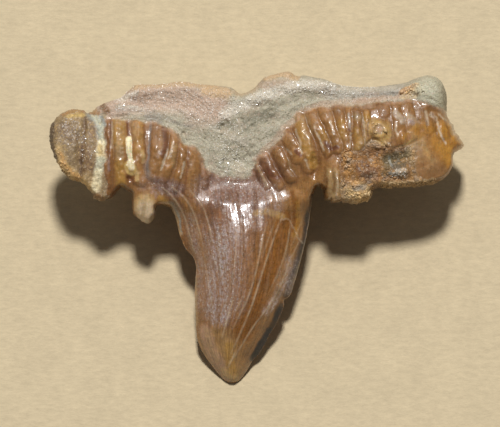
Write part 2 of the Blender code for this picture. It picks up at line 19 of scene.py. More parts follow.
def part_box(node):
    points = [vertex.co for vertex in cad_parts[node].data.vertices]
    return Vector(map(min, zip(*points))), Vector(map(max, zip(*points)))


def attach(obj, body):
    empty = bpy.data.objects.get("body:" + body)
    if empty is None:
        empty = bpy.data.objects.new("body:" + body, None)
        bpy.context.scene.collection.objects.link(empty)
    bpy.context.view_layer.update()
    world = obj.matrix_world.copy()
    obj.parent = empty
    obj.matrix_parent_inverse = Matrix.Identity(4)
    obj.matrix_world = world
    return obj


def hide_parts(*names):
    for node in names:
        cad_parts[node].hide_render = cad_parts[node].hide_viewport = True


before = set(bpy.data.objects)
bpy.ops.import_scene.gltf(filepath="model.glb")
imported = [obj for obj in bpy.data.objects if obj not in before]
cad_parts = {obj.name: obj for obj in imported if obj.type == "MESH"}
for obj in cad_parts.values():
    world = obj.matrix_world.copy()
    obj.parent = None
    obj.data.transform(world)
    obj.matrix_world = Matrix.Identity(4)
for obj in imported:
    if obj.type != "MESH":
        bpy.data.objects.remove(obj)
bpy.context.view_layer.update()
low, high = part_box("tooth")
print("the packed tooth measures", [round(1000 * side, 2) for side in high - low], "mm")

# %% [markdown]
# ## Face coordinates
#
# A tooth is easiest to describe looking straight at the face that shows. Here u runs across it, v runs
# towards the root and w comes out of it, all in millimetres. At the end the whole face leans back by 20
# degrees, because the tooth lies on the lump behind its root. Working in these flat coordinates means
# that every fold, groove and stain can be placed with two numbers.

# %% Units and directions
MM = 0.001
LEAN = math.radians(20.0)


def leaned(points, level):
    """From the flat face's u, v, w to the lying tooth, in millimetres."""
    u, v = points.T
    y = v * math.cos(LEAN) - level * math.sin(LEAN)
    z = v * math.sin(LEAN) + level * math.cos(LEAN)
    return np.stack((u, y, z), axis=1)


# %% [markdown]
# ## A small kit of curves
#
# Natural shapes are sums of soft ones. A ramp blends two things, a bell makes a lump or a groove, and a
# profile is a smooth curve through a few measured knots. `line_distance` says how far each point of the
# surface is from a drawn line, which is all that a fold, a stria or a brush stroke needs.

# %% Ramps, bells and profiles
def ramp(x):
    """From 0 to 1 with level ends."""
    x = np.clip(x, 0.0, 1.0)
    return x * x * (3.0 - 2.0 * x)


def bell(distance, reach):
    """1 on the line, 0 from the reach outwards, level at both."""
    return 1.0 - ramp(np.abs(distance) / reach)


def profile(knots, x):
    """Smooth curve through the knots, evaluated at every x."""
    places, values = np.array(knots).T
    slopes = np.gradient(values, places)
    x = np.clip(x, places[0], places[-1])
    i = np.clip(np.searchsorted(places, x) - 1, 0, len(places) - 2)
    span = places[i + 1] - places[i]
    t = (x - places[i]) / span
    start = values[i] * (1 + 2 * t) * (1 - t) ** 2 + slopes[i] * span * t * (1 - t) ** 2
    return start + values[i + 1] * t * t * (3 - 2 * t) + slopes[i + 1] * span * t * t * (t - 1)


# %% Curves through points, and the distance from them
def curve_through(points, step, closed=False):
    """Catmull-Rom curve through the points, cut into even pieces about one step long."""
    points = np.array(points, float)
    if closed:
        ring = np.vstack((points[-1], points, points[:2]))
    else:
        ring = np.vstack((2 * points[0] - points[1], points, 2 * points[-1] - points[-2]))
    t = np.linspace(0.0, 1.0, 12, endpoint=False)[:, None]
    fine = []
    for a, b, c, d in zip(ring, ring[1:], ring[2:], ring[3:]):
        square = (2 * a - 5 * b + 4 * c - d) * t**2
        cube = (3 * b - a - 3 * c + d) * t**3
        fine.append(0.5 * (2 * b + (c - a) * t + square + cube))
    fine = np.vstack(fine + [points[:1] if closed else points[-1:]])
    along = np.concatenate(([0.0], np.cumsum(np.linalg.norm(np.diff(fine, axis=0), axis=1))))
    count = max(2, round(along[-1] / step))
    stations = np.linspace(0.0, along[-1], count + 1)[: count if closed else count + 1]
    return np.stack([np.interp(stations, along, fine[:, i]) for i in range(2)], axis=1)


def line_distance(points, line, closed=False):
    """How far each point is from the line, how far along the line its foot is, and on which side."""
    ends = np.vstack((line, line[:1])) if closed else np.asarray(line)
    best = np.full(len(points), np.inf)
    foot = np.zeros(len(points))
    side = np.zeros(len(points))
    travelled = 0.0
    for a, b in zip(ends, ends[1:]):
        run = b - a
        length = math.hypot(run[0], run[1])
        offset = points - a
        t = np.clip(offset @ run / length**2, 0.0, 1.0)
        away = offset - t[:, None] * run
        distance = np.hypot(away[:, 0], away[:, 1])
        nearer = distance < best
        best[nearer] = distance[nearer]
        foot[nearer] = travelled + t[nearer] * length
        side[nearer] = np.sign(run[0] * offset[nearer, 1] - run[1] * offset[nearer, 0])
        travelled += length
    return best, foot / travelled, side


# %% Lumps and granules
LAYERS = (0.6, 2.1)  # fall-off of the finer layers of noise, and how much finer each is
GRANULE_EDGE = 0.62  # of a grain's spacing, where its dome ends


def lumps(points, size, seed, octaves=3):
    """Lumpy noise about -1 to 1, its lumps about the given size."""
    return np.array([noise.fractal((u / size, v / size, seed), *LAYERS, octaves) for u, v in points])


def pushed(points, push, size, seeds, octaves=3):
    """The points, moved across and along by noise."""
    return points + push * np.stack([lumps(points, size, seed, octaves) for seed in seeds], axis=1)


def granules(points, size, seed):
    """Rounded grains side by side: 1 in the middle of a grain, 0 between grains."""
    nearest = [noise.voronoi((u / size, v / size, seed))[0][0] for u, v in points]
    return np.sqrt(np.clip(1.0 - (np.array(nearest) / GRANULE_EDGE) ** 2, 0.0, 1.0))


# %% [markdown]
# ## The outline
#
# The edge of the face is drawn once, clockwise, in runs that name what they border: the root's thin
# edge, the two broken ends, the heels and the cutting edges of the cusp. It could be drawn as a Bezier
# curve by hand, but knots in millimetres can be measured and put right one by one. A curve through them
# is cut finer than the eye can see. Broken edges are ragged and cutting edges are clean, so a little
# noise moves each point outwards or inwards by an amount that depends on where it is.

# %% Draw the outline
ROOT_EDGE = (
    (-3.64, 1.63), (-3.42, 1.79), (-3.18, 1.89), (-2.87, 1.99), (-2.63, 2.21), (-2.48, 2.30),
    (-1.91, 2.31), (-1.40, 2.38), (-0.96, 2.31), (-0.25, 2.25), (0.00, 2.09), (0.29, 2.19),
    (0.53, 2.42), (0.64, 2.50), (1.15, 2.62), (1.36, 2.52), (1.60, 2.52), (2.03, 2.43),
    (2.50, 2.28), (3.16, 2.25), (3.95, 2.36), (4.31, 2.49), (4.60, 2.55), (4.85, 2.43),
    (5.00, 2.11), (5.01, 1.77),
)
RIGHT_BREAK = (
    (5.02, 1.56), (5.14, 1.39), (5.22, 1.20), (5.41, 0.93), (5.43, 0.84), (5.30, 0.73),
    (5.17, 0.66), (5.16, 0.38), (5.10, 0.22), (4.95, 0.05),
)
RIGHT_HEEL = (
    (4.74, -0.05), (4.43, -0.11), (3.83, -0.16), (3.40, -0.17), (3.21, -0.20), (3.13, -0.36),
    (3.01, -0.48), (2.80, -0.57), (2.46, -0.54), (2.15, -0.51), (2.02, -0.43), (2.00, -0.26),
    (1.91, -0.16), (1.84, -0.19),
)
CUSP_RIGHT = (
    (1.75, -0.41), (1.71, -0.65), (1.65, -1.10), (1.51, -1.75), (1.32, -2.44), (1.20, -2.78),
    (1.06, -2.89), (1.05, -3.06), (0.89, -3.44), (0.70, -3.75), (0.50, -4.14), (0.31, -4.35),
    (0.12, -4.66), (-0.01, -4.83), (-0.15, -4.90),
)
CUSP_LEFT = (
    (-0.31, -4.87), (-0.50, -4.70), (-0.77, -4.35), (-0.96, -4.04), (-1.04, -3.75), (-1.07, -3.23),
    (-1.09, -2.63), (-1.06, -2.10), (-1.14, -1.85), (-1.32, -1.63), (-1.46, -1.30), (-1.54, -0.95),
    (-1.67, -0.69),
)
LEFT_HEEL = (
    (-1.77, -0.63), (-1.99, -0.62), (-2.05, -0.88), (-2.22, -1.05), (-2.44, -0.93), (-2.60, -0.75),
    (-2.61, -0.35), (-2.72, -0.24), (-2.85, -0.17), (-2.99, -0.31), (-3.11, -0.43),
)
LEFT_BREAK = (
    (-3.35, -0.50), (-3.50, -0.45), (-3.59, -0.29), (-3.78, -0.08), (-3.90, -0.01), (-4.07, 0.02),
    (-4.22, 0.15), (-4.45, 0.50), (-4.58, 0.90), (-4.59, 1.20), (-4.52, 1.38), (-4.31, 1.60),
    (-4.02, 1.71), (-3.80, 1.69),
)
OUTLINE_STEP = 0.026  # between the outline's points
RAGGED_BREAK = 0.030  # how far a broken edge is pushed
RAGGED_REST = 0.006  # and a clean one
RAGGED_SIZE = 0.12
RAGGED_SEED = 21.0
LEFT_END = (-3.2, 0.25)  # u where the broken left end starts, and over how far
RIGHT_STUBS = (1.95, 0.1, 0.2)  # the right heel's stubs: from this u, below this v, over how far
RIGHT_END = (5.0, 0.1)  # u where the broken right end starts, and over how far


def outward(loop):
    """Unit vectors that point out of a clockwise loop."""
    run = np.roll(loop, -1, axis=0) - np.roll(loop, 1, axis=0)
    return np.stack((-run[:, 1], run[:, 0]), axis=1) / np.linalg.norm(run, axis=1)[:, None]


def broken_end(points):
    """1 over the two broken ends of the heels, 0 between them."""
    u, v = points.T
    left = ramp((LEFT_END[0] - u) / LEFT_END[1])
    first, top, length = RIGHT_STUBS
    right = ramp((u - first) / length) * ramp((top - v) / length) + ramp((u - RIGHT_END[0]) / RIGHT_END[1])
    return np.clip(left + right, 0.0, 1.0)


runs = ROOT_EDGE + RIGHT_BREAK + RIGHT_HEEL + CUSP_RIGHT + CUSP_LEFT + LEFT_HEEL + LEFT_BREAK
edge = curve_through(runs, OUTLINE_STEP, closed=True)
ragged = RAGGED_REST + (RAGGED_BREAK - RAGGED_REST) * broken_end(edge)
edge = edge + (ragged * lumps(edge, RAGGED_SIZE, RAGGED_SEED))[:, None] * outward(edge)
print("outline:", len(edge), "points")

# %% [markdown]
# ## Enamel against root
#
# The enamel crown ends in a line that wanders over both heels and dips in a V to the cusp's neck. Its
# signed distance, above zero on the enamel, later decides heights, colours and materials alike, so the
# step in the surface and the change of colour always fall in the same place.

# %% The crown line
CROWN_LINE = (
    (-3.80, 2.10), (-3.35, 1.60), (-3.06, 1.48), (-2.39, 1.44), (-1.84, 1.32), (-1.50, 1.10),
    (-1.38, 0.87), (-1.08, 0.81), (-0.93, 0.62), (-0.82, 0.30), (-0.68, 0.18), (-0.30, 0.08),
    (0.17, 0.05), (0.31, 0.22), (0.42, 0.52), (0.67, 0.72), (0.96, 1.00), (1.10, 1.27),
    (1.24, 1.33), (1.41, 1.62), (2.15, 1.79), (2.87, 1.80), (3.70, 1.90), (4.30, 1.92),
    (4.78, 1.75), (5.25, 1.58),
)
CROWN_STEP = 0.10  # over which the material changes
BODY_STEP = 0.30  # over which the level changes
BORDER_STEP = 0.05  # between the points of the drawn line
BORDER_WANDER = (0.05, 0.22, (91.0, 97.0))  # how far noise pushes it, size of the waves, seeds


def crown_side(points):
    """Signed distance from the crown line, above zero on the enamel."""
    line = curve_through(CROWN_LINE, BORDER_STEP)
    distance, _, side = line_distance(pushed(points, *BORDER_WANDER, 2), line)
    return -side * distance


# %% [markdown]
# ## The folds of the heels
#
# On each side of the cusp the enamel is pleated. A pleat is drawn as a line down its crest, with half
# its width and its height. Pleats could be sculpted, but drawn crests can be counted and measured. Across
# a pleat the surface is a rounded arch, and where two meet the higher one wins, which leaves a sharp
# groove between them without drawing it.

# %% Folds
LEFT_FOLDS = (
    (0.065, 0.80, (-3.11, 1.41), (-3.13, 0.96), (-3.16, 0.36), (-3.18, -0.14)),
    (0.17, 1.05, (-2.89, 1.50), (-2.89, 0.96), (-2.87, 0.36), (-2.87, -0.14)),
    (0.13, 0.95, (-2.46, 1.46), (-2.44, 1.00), (-2.42, 0.48), (-2.39, -0.02)),
    (0.18, 0.90, (-1.94, 1.38), (-1.93, 0.96), (-1.96, 0.53), (-2.03, 0.14)),
    (0.12, 0.90, (-1.57, 1.16), (-1.57, 0.88), (-1.68, 0.50), (-1.86, 0.05)),
    (0.09, 0.80, (-1.36, 0.95), (-1.36, 0.60), (-1.44, 0.19), (-1.58, -0.24)),
    (0.17, 1.00, (-1.10, 0.82), (-1.10, 0.48), (-1.15, 0.05), (-1.20, -0.22)),
    (0.10, 0.65, (-0.86, 0.43), (-0.82, 0.15), (-0.84, -0.10)),
)
RIGHT_FOLDS = (
    (0.08, 0.75, (0.36, 0.48), (0.45, 0.24), (0.62, -0.14)),
    (0.12, 1.00, (0.53, 0.62), (0.69, 0.31), (0.91, -0.10)),
    (0.11, 0.95, (0.86, 0.74), (1.03, 0.43), (1.20, 0.05)),
    (0.15, 1.05, (1.08, 1.15), (1.22, 0.89), (1.41, 0.55)),
    (0.16, 1.00, (1.39, 1.55), (1.48, 1.20), (1.60, 0.77), (1.67, 0.33)),
    (0.13, 1.00, (1.70, 1.65), (1.82, 1.34), (1.96, 1.00), (2.08, 0.69)),
    (0.13, 1.00, (1.99, 1.72), (2.11, 1.44), (2.25, 1.10), (2.34, 0.77)),
    (0.11, 0.90, (2.30, 1.74), (2.39, 1.44), (2.49, 1.10), (2.54, 0.79)),
    (0.09, 0.80, (2.58, 1.74), (2.61, 1.48), (2.63, 1.17)),
    (0.11, 0.90, (2.80, 1.72), (2.82, 1.24), (2.85, 0.72)),
    (0.09, 0.80, (3.04, 1.72), (3.04, 1.24), (3.06, 0.77)),
    (0.10, 0.45, (3.40, 1.84), (3.46, 1.60)),
    (0.12, 0.75, (3.73, 1.84), (3.80, 1.39), (3.88, 0.98)),
    (0.12, 0.70, (4.02, 1.87), (4.09, 1.48), (4.16, 1.12)),
    (0.13, 0.70, (4.31, 1.87), (4.43, 1.53), (4.52, 1.22)),
    (0.13, 0.65, (4.62, 1.82), (4.74, 1.48), (4.88, 1.10)),
    (0.10, 0.60, (4.90, 1.60), (5.05, 1.32), (5.19, 0.98)),
)
FOLD_HEIGHT = 0.090
FOLD_START = 0.05  # full height is reached this far below the crown line
FOLD_CAP = 0.7  # of half a pleat's width, from the drawn start to its round top
FOLD_STEP = 0.12  # between the points of a crest
FOLD_OVERLAP = 1.22  # half widths from its crest at which a pleat ends
FOLD_ROUNDNESS = 0.75
FOLD_SWELL = 0.22  # share of the height that a pleat loses at both ends
FOLD_NEAR = 2.2  # half widths from a crest at which its own tone ends
FOLD_DENTS = (0.17, 0.22, 45.0)  # size, share of the height and seed of the dents along the crests
FOLD_SWAY = (0.045, 0.55, (2.0, 7.0))  # how far noise pushes them, size of the waves, seeds
FOLD_END = (-0.15, 0.5, 2.1)  # v where they run out near the cusp, over how far, and its reach
FOLD_WEAR = (3.5, 0.6, 0.45)  # u where they are worn, over how far, and how much of the height


def folded(points):
    """The pleats side by side: 1 on a full crest, then the nearest one's number, then how near it is."""
    swayed = pushed(points, *FOLD_SWAY)
    height = np.zeros(len(points))
    number = np.zeros(len(points))
    near = np.zeros(len(points))
    for i, (half, fullness, *path) in enumerate(LEFT_FOLDS + RIGHT_FOLDS):
        top, after = np.array(path[:2])
        path[0] = top + (after - top) * FOLD_CAP * half / math.dist(top, after)
        distance, along, _ = line_distance(swayed, curve_through(path, FOLD_STEP))
        crest = np.clip(1.0 - (distance / (FOLD_OVERLAP * half)) ** 2, 0.0, 1.0) ** FOLD_ROUNDNESS
        crest = crest * fullness * (1.0 - FOLD_SWELL + FOLD_SWELL * np.sin(math.pi * along))
        number[crest > height] = i + 1
        height = np.maximum(height, crest)
        near = np.maximum(near, np.clip(FOLD_NEAR - distance / half, 0.0, 1.0))
    size, share, seed = FOLD_DENTS
    return height * (1.0 + share * lumps(points, size, seed, 2)), number, near


def fold_presence(points, crown):
    """Folds start at the crown line, are worn low at the right end and run out on the cusp."""
    u, v = points.T
    start, length, reach = FOLD_END
    run_out = 1.0 - ramp((start - v) / length) * bell(u, reach)
    start, length, share = FOLD_WEAR
    return ramp(crown / FOLD_START) * run_out * (1.0 - share * ramp((u - start) / length))


# %% [markdown]
# ## The large forms of the face
#
# Under the detail the face is simple. The heels are a long roll, the root behind them is a flatter
# shelf, and the cusp is a long swell that bends down towards its tip. Three solids could be joined, but
# a tooth has no joints, so each form is a profile of heights, and soft ramps blend them. Towards the
# outline the surface turns down: like a quarter round on the heels, and like a keen lens on the cusp,
# whose edges once cut.

# %% Profiles of heels, root and cusp
HEEL_CENTRE = ((-4.6, 0.45), (-3.0, 0.32), (-0.8, 0.25), (1.2, 0.30), (2.2, 0.48), (5.4, 0.50))
HEEL_REACH = ((-4.6, 1.60), (-3.0, 1.50), (-0.8, 1.40), (1.2, 1.60), (2.2, 1.75), (5.4, 1.75))
HEEL_RISE = (
    (-4.6, 0.56), (-3.0, 0.62), (-1.3, 0.56), (-0.6, 0.34), (0.2, 0.26), (0.9, 0.44), (1.6, 0.62),
    (4.3, 0.60), (5.4, 0.12),
)
HEEL_LEAST = 0.15  # the roll's least height, as a share squared
ARM_RIM = ((-5.0, 0.05), (-2.5, 0.0), (0.0, 0.0), (2.5, -0.22), (4.0, -0.55), (5.5, -1.10))
ROOT_RISE = 0.34
ROOT_BELLY = (1.6, 1.2, 0.06)  # v where the root is fullest, its reach, and how much fuller
CUSP_RISE = (
    (-5.0, -0.12), (-4.70, 0.05), (-4.31, 0.24), (-3.59, 0.55), (-2.87, 0.765), (-2.15, 0.87),
    (-1.60, 0.875), (-1.15, 0.80), (-0.75, 0.675), (-0.36, 0.545), (-0.10, 0.42), (0.10, 0.32),
    (0.40, 0.20),
)
CUSP_RIM = ((-4.95, -0.30), (-4.30, -0.20), (-3.00, 0.00), (-1.60, 0.12), (-0.40, 0.05), (0.5, 0.0))
CUSP_HALF_WIDTH = (
    (-4.90, 0.12), (-4.70, 0.30), (-4.35, 0.55), (-3.75, 0.88), (-2.60, 1.15), (-1.60, 1.42),
    (-0.60, 1.70), (0.60, 1.90),
)
CUSP_MIDDLE = ((-4.90, -0.22), (-3.75, -0.15), (-2.60, 0.10), (-1.60, 0.12), (-0.40, 0.05), (0.6, 0.0))
CUSP_ZONE = 2.6  # reach of the cusp to either side
NECK_TOP = 0.15  # v where the neck starts
NECK_LENGTH = 0.75  # and over how far it becomes the cusp
FIBRES = 1.6  # half width of the cusp at which the fibres are neither squeezed nor spread
KEEN_TOP = -0.35  # v below which the edges are keen
KEEN_SIDES = (2.0, 0.2)  # the stubs beside the cusp aren't: u from which, and over how far
KEEN_POWER = 2.4
FRONT_RADIUS = 0.20
KNOB = ((4.65, 2.12), 0.75, 0.24)  # centre, reach, and how much rounder the edge is there
CRISP = (1.50, 0.40, 0.95, 0.10)  # the heels' lower edge: from this u, over how far, below this v, less
BACK_RADIUS = 0.75


def cusp_share(points):
    """1 on the cusp, 0 on the heels and root, with the neck between."""
    u, v = points.T
    return ramp((NECK_TOP - v) / NECK_LENGTH) * bell(u, CUSP_ZONE)


def flow(points):
    """Across and along the enamel's fibres, which close in on the cusp's tip."""
    u, v = points.T
    across = (u - profile(CUSP_MIDDLE, v)) / profile(CUSP_HALF_WIDTH, v) * FIBRES
    across = u + (across - u) * cusp_share(points)
    return np.stack((across, v, np.zeros(len(points))), axis=1)


def rim_level(points):
    """Height of the edge where the front sheet meets the back one."""
    u, v = points.T
    arms = profile(ARM_RIM, u)
    return arms + (profile(CUSP_RIM, v) - arms) * cusp_share(points)


def front_radius(points):
    """How round the front's edge is: crisp on the breaks, soft on the root's knob."""
    centre, reach, more = KNOB
    start, length, top, less = CRISP
    crisp = less * ramp((np.abs(points[:, 0]) - start) / length) * ramp((top - points[:, 1]) / length)
    return FRONT_RADIUS + more * bell(np.hypot(*(points - centre).T), reach) - crisp


def rounding(points, edge_distance, radius):
    """0 at the edge rising to 1."""
    u, v = points.T
    quarter = np.sqrt(1.0 - (1.0 - np.clip(edge_distance / radius, 0.0, 1.0)) ** 2)
    across = np.clip(edge_distance / profile(CUSP_HALF_WIDTH, v), 0.0, 1.0)
    lens = 1.0 - (1.0 - across) ** KEEN_POWER
    keen = ramp((KEEN_TOP - v) / NECK_LENGTH) * ramp((KEEN_SIDES[0] - np.abs(u)) / KEEN_SIDES[1])
    return quarter + (lens - quarter) * keen


def body_level(points, enamel):
    """The heels' roll, the root's shelf and the cusp's long swell."""
    u, v = points.T
    across_roll = (v - profile(HEEL_CENTRE, u)) / profile(HEEL_REACH, u)
    heel = profile(HEEL_RISE, u) * np.sqrt(np.clip(1.0 - across_roll**2, HEEL_LEAST, 1.0))
    fullest, reach, more = ROOT_BELLY
    root = ROOT_RISE + more * bell(v - fullest, reach)
    body = root + (heel - root) * enamel
    return body + (profile(CUSP_RISE, v) - body) * cusp_share(points)


# %% [markdown]
# ## Named lumps and hollows
#
# What makes this tooth itself is its damage: two broken lobes on the left with a cleft between them,
# a pale chip wedged between two folds, a dark hollow on the right, and rusty stubs. Separate stones could
# be stuck on, but the real ones have grown together. So each is one soft ellipse that is added to the
# height, or taken away when its number is negative, and the skin stays closed.

# %% Lumps, hollows and pits
FACE_FORMS = (
    ((-4.15, 0.78), (0.42, 0.78), 0.10),  # outer broken lobe
    ((-3.58, 0.55), (0.22, 0.95), 0.10),  # inner broken lobe
    ((-3.84, 0.40), (0.09, 0.60), -0.07),  # cleft between the two lobes
    ((-3.74, 1.20), (0.06, 0.42), -0.07),  # its upper part
    ((-3.32, 0.60), (0.09, 1.05), 0.05),  # pale mineral strip
    ((-2.24, -0.55), (0.28, 0.36), 0.06),  # long stub of the left heel
    ((-2.24, -0.92), (0.28, 0.28), 0.08),  # its thicker end
    ((2.28, 0.05), (0.24, 0.60), 0.12),  # long stub of the right heel
    ((2.13, -0.05), (0.055, 0.34), 0.06),  # facets down it
    ((2.33, -0.12), (0.065, 0.40), 0.07),
    ((2.62, 0.48), (0.17, 0.28), 0.13),  # rusty granules beside it
    ((2.88, -0.28), (0.32, 0.25), 0.10),  # rusty stub
    ((3.70, 0.52), (0.38, 0.17), -0.11),  # dark hollow under the broken ledge
    ((3.10, 0.52), (0.34, 0.26), -0.05),  # hollow with broken dentine
    ((3.30, -0.04), (0.16, 0.10), 0.07),  # arched flake at its lower edge
    ((-2.66, 0.74), (0.05, 0.26), 0.09),  # pale chip wedged between two folds
    ((-2.62, 0.32), (0.10, 0.15), 0.11),  # its thicker foot
    ((-2.64, 0.04), (0.07, 0.07), -0.05),  # pocket under the chip
    ((3.86, 0.18), (0.26, 0.12), 0.10),  # crystal grains under the hollow
    ((3.01, 0.22), (0.34, 0.26), 0.10),  # round brown mass beside the hollow
    ((3.33, 1.20), (0.24, 0.25), 0.10),  # ochre block that carries the ring
    ((3.30, 0.82), (0.20, 0.09), 0.09),  # knob under it
    ((3.90, 0.98), (0.07, 0.22), 0.06),  # splinter above the hollow
    ((4.55, 0.55), (0.60, 0.50), 0.04),  # smooth end of the right heel
    ((4.86, 1.10), (0.05, 0.30), 0.03),  # crest between two of its facets
    ((4.62, 2.10), (0.34, 0.36), 0.16),  # rounded knob of the root
    ((-1.90, 1.86), (0.95, 0.24), -0.10),  # concave facet of the root
    ((-2.50, 2.08), (0.30, 0.10), 0.06),  # lip along its upper left
    ((0.55, 1.98), (0.60, 0.15), 0.09),  # crossing ridge, lower end
    ((1.55, 2.24), (0.85, 0.18), 0.11),  # crossing ridge, upper end
    ((0.45, 1.45), (0.60, 0.16), -0.05),  # trough under the ridge
    ((-0.30, 1.32), (0.30, 0.14), -0.04),  # dark dimples
    ((0.00, 0.48), (0.40, 0.34), -0.13),  # dish at the foot of the V
    ((0.92, 1.18), (0.16, 0.34), 0.05),  # light lip beside the folds
    ((3.10, 2.02), (0.80, 0.13), -0.04),  # groove along the right band
    ((1.80, 0.38), (0.12, 0.30), -0.12),  # dark gap beside the stub
    ((-1.28, -1.42), (0.12, 0.34), -0.08),  # chipped edge on the left of the cusp
    ((1.14, -2.96), (0.16, 0.12), -0.06),  # nick in the right cutting edge
)
FORM_SKIRT = 1.5  # reaches from its middle at which a form ends
RING_CENTRE = (3.33, 1.22)
RING = (0.16, 0.10, 0.035)  # radius, reach and height of the enamel ring on the ochre block
WOBBLE = (0.20, 0.22, (41.0, 43.0))  # of the borders, as a share of the reach; size, seeds
ROOT_PITS = (
    (0.74, 1.67), (2.73, 1.96), (-0.50, 1.20), (-1.36, 1.12), (4.83, 2.08), (4.50, 2.34), (0.30, 1.30),
    (4.22, 2.03), (4.66, 2.22), (-0.42, 1.31), (0.05, 1.46),
)
PIT = (0.07, 0.06)  # reach and depth


def form_relief(points):
    """Every named lump and hollow, and the ring-shaped patch on the right heel."""
    wave = pushed(points, *WOBBLE) - points
    radius, reach, height = RING
    level = height * bell(np.hypot(*(points - RING_CENTRE).T) - radius, reach)
    for centre, reach, rise in FACE_FORMS:
        level += rise * bell(np.hypot(*((points - centre) / reach + wave).T), FORM_SKIRT)
    reach, depth = PIT
    for pit in ROOT_PITS:
        level -= depth * bell(np.hypot(*(points - pit).T), reach)
    return level


# %% [markdown]
# ## Ribs and flutes of the cusp
#
# The cusp's enamel grew in fibres that close in on its tip. Light breaks on them: broad round flutes cut
# a highlight into columns, and fine ribs give it grain. A stack of stretched noise would look similar,
# but a phase that is counted across the fibres keeps the ridges parallel wherever the cusp narrows.

# %% Ribs and flutes
RIBS_PER_MM = 4.2
RIB_HEIGHT = 0.012
RIB_SHARPNESS = 1.5
RIB_SWAY = 0.30  # of their spacing
RIB_SIZE = 0.45  # of the waves in which they sway and fade
RIB_SEEDS = (15.0, 19.0)
RIB_STRENGTH = (0.65, 0.5, 0.1, 1.2)  # mean, spread by noise, least and most
RIB_END = -3.3  # they run out below this v
RIB_START = 0.1  # and above this one
RIB_FADES = (0.8, 0.4)  # over these lengths
FLUTE_GROOVES = (-2.3, -1.94, -1.58, -1.22, -0.74, -0.16, 0.36, 0.76, 1.18, 1.54, 1.92, 2.3)
FLUTE_HEIGHT = 0.026
FLUTE_SWAY = 0.05
FLUTE_SIZE = (0.5, 1.6)  # of its sway, across and along
FLUTE_SEED = 23.0
FLUTE_FADES = (1.2, 0.5)


def faded(along, lengths):
    """1 down the middle of the cusp, 0 past both ends of its ribs."""
    return ramp((along - RIB_END) / lengths[0]) * ramp((RIB_START - along) / lengths[1])


def ribs(points):
    """Fine ribs down the cusp: 1 on a sharp crest, 0 in the valleys between."""
    across, along, _ = flow(points).T
    phase = across * RIBS_PER_MM + RIB_SWAY * lumps(points, RIB_SIZE, RIB_SEEDS[0])
    crest = (1.0 - np.abs(np.sin(math.pi * phase))) ** RIB_SHARPNESS
    mean, spread, least, most = RIB_STRENGTH
    strength = np.clip(mean + spread * lumps(points, RIB_SIZE, RIB_SEEDS[1]), least, most)
    return crest * strength * faded(along, RIB_FADES) * cusp_share(points)


def flutes(points):
    """Broad round flutes with narrow grooves between, which break the cusp's highlights into columns."""
    across, along, _ = flow(points).T
    squeezed = np.stack((across, along * FLUTE_SIZE[0] / FLUTE_SIZE[1]), axis=1)
    sway = lumps(squeezed, FLUTE_SIZE[0], FLUTE_SEED, 2)
    phase = np.interp(across + FLUTE_SWAY * sway, FLUTE_GROOVES, np.arange(len(FLUTE_GROOVES)))
    return (1.0 - (2.0 * (phase % 1.0) - 1.0) ** 2) * faded(along, FLUTE_FADES) * cusp_share(points)


# %% [markdown]
# ## The broken ledge
#
# On the right the enamel has snapped off along a ragged shelf. Cutting the edge with a boolean would
# leave a perfect wall, so the level simply drops by a little below a drawn line, over a short ramp.

# %% The ledge
LEDGE = ((2.85, 0.72), (3.16, 1.00), (3.59, 0.79), (3.95, 0.86), (4.35, 1.02))
LEDGE_DROP = 0.05
LEDGE_STEP = 0.08  # over which the level drops
LEDGE_ZONE = (3.60, 0.95)  # u of its middle, and its reach


def under_ledge(points):
    """1 where the right heel's enamel has broken away below the ledge."""
    u, v = points.T
    middle, reach = LEDGE_ZONE
    return ramp((profile(LEDGE, u) - v) / LEDGE_STEP + 0.5) * ramp(2.0 * bell(u - middle, reach))


# %% [markdown]
# ## Where the tooth is broken
#
# Three kinds of surface meet here: enamel, root, and bare broken dentine. The broken kind covers the
# left end and a patch of the right heel. Its border is pushed about by noise, because a fracture never
# follows a smooth line.

# %% The broken zone
BREAK_LEFT = (-3.23, 1.62)  # the left end is broken beyond this u and below this v
BREAK_RIGHT = (2.42, 4.20)  # from u to u on the right
BREAK_GAP = 0.03  # below the ledge
BREAK_SOFT = 0.07  # over which one surface turns into the other
BREAK_WANDER = (0.09, 0.35, 33.0)  # how far noise pushes its border, size, seed
LOWER_CRUST = 0.02  # v below which the right heel is crusted


def broken(points):
    """1 on bare broken dentine, 0 elsewhere, with a wandering border."""
    push, size, seed = BREAK_WANDER
    u, v = points.T + push * lumps(points, size, seed)
    start, top = BREAK_LEFT
    left = ramp((start - u) / BREAK_SOFT + 0.5) * ramp((top - v) / BREAK_SOFT)
    first, last = BREAK_RIGHT
    beyond = ramp((u - first) / BREAK_SOFT + 0.5)
    right = beyond * ramp((last - u) / (6 * BREAK_SOFT) + 0.5)
    right = right * ramp((profile(LEDGE, u) - BREAK_GAP - v) / BREAK_SOFT + 0.5)
    crust = beyond * ramp((LOWER_CRUST - v) / BREAK_SOFT + 0.5)
    return np.maximum(np.maximum(left, right), crust)


# %% [markdown]
# ## Adding it up: the face
#
# The height of the face is the rim, plus the large forms faded in by the rounding, plus the relief. The
# relief keeps part of its strength right up to the edge, so the silhouette isn't too smooth. The broken
# left end is a cleaner fracture than the crusted right one, so its grain is calmer.

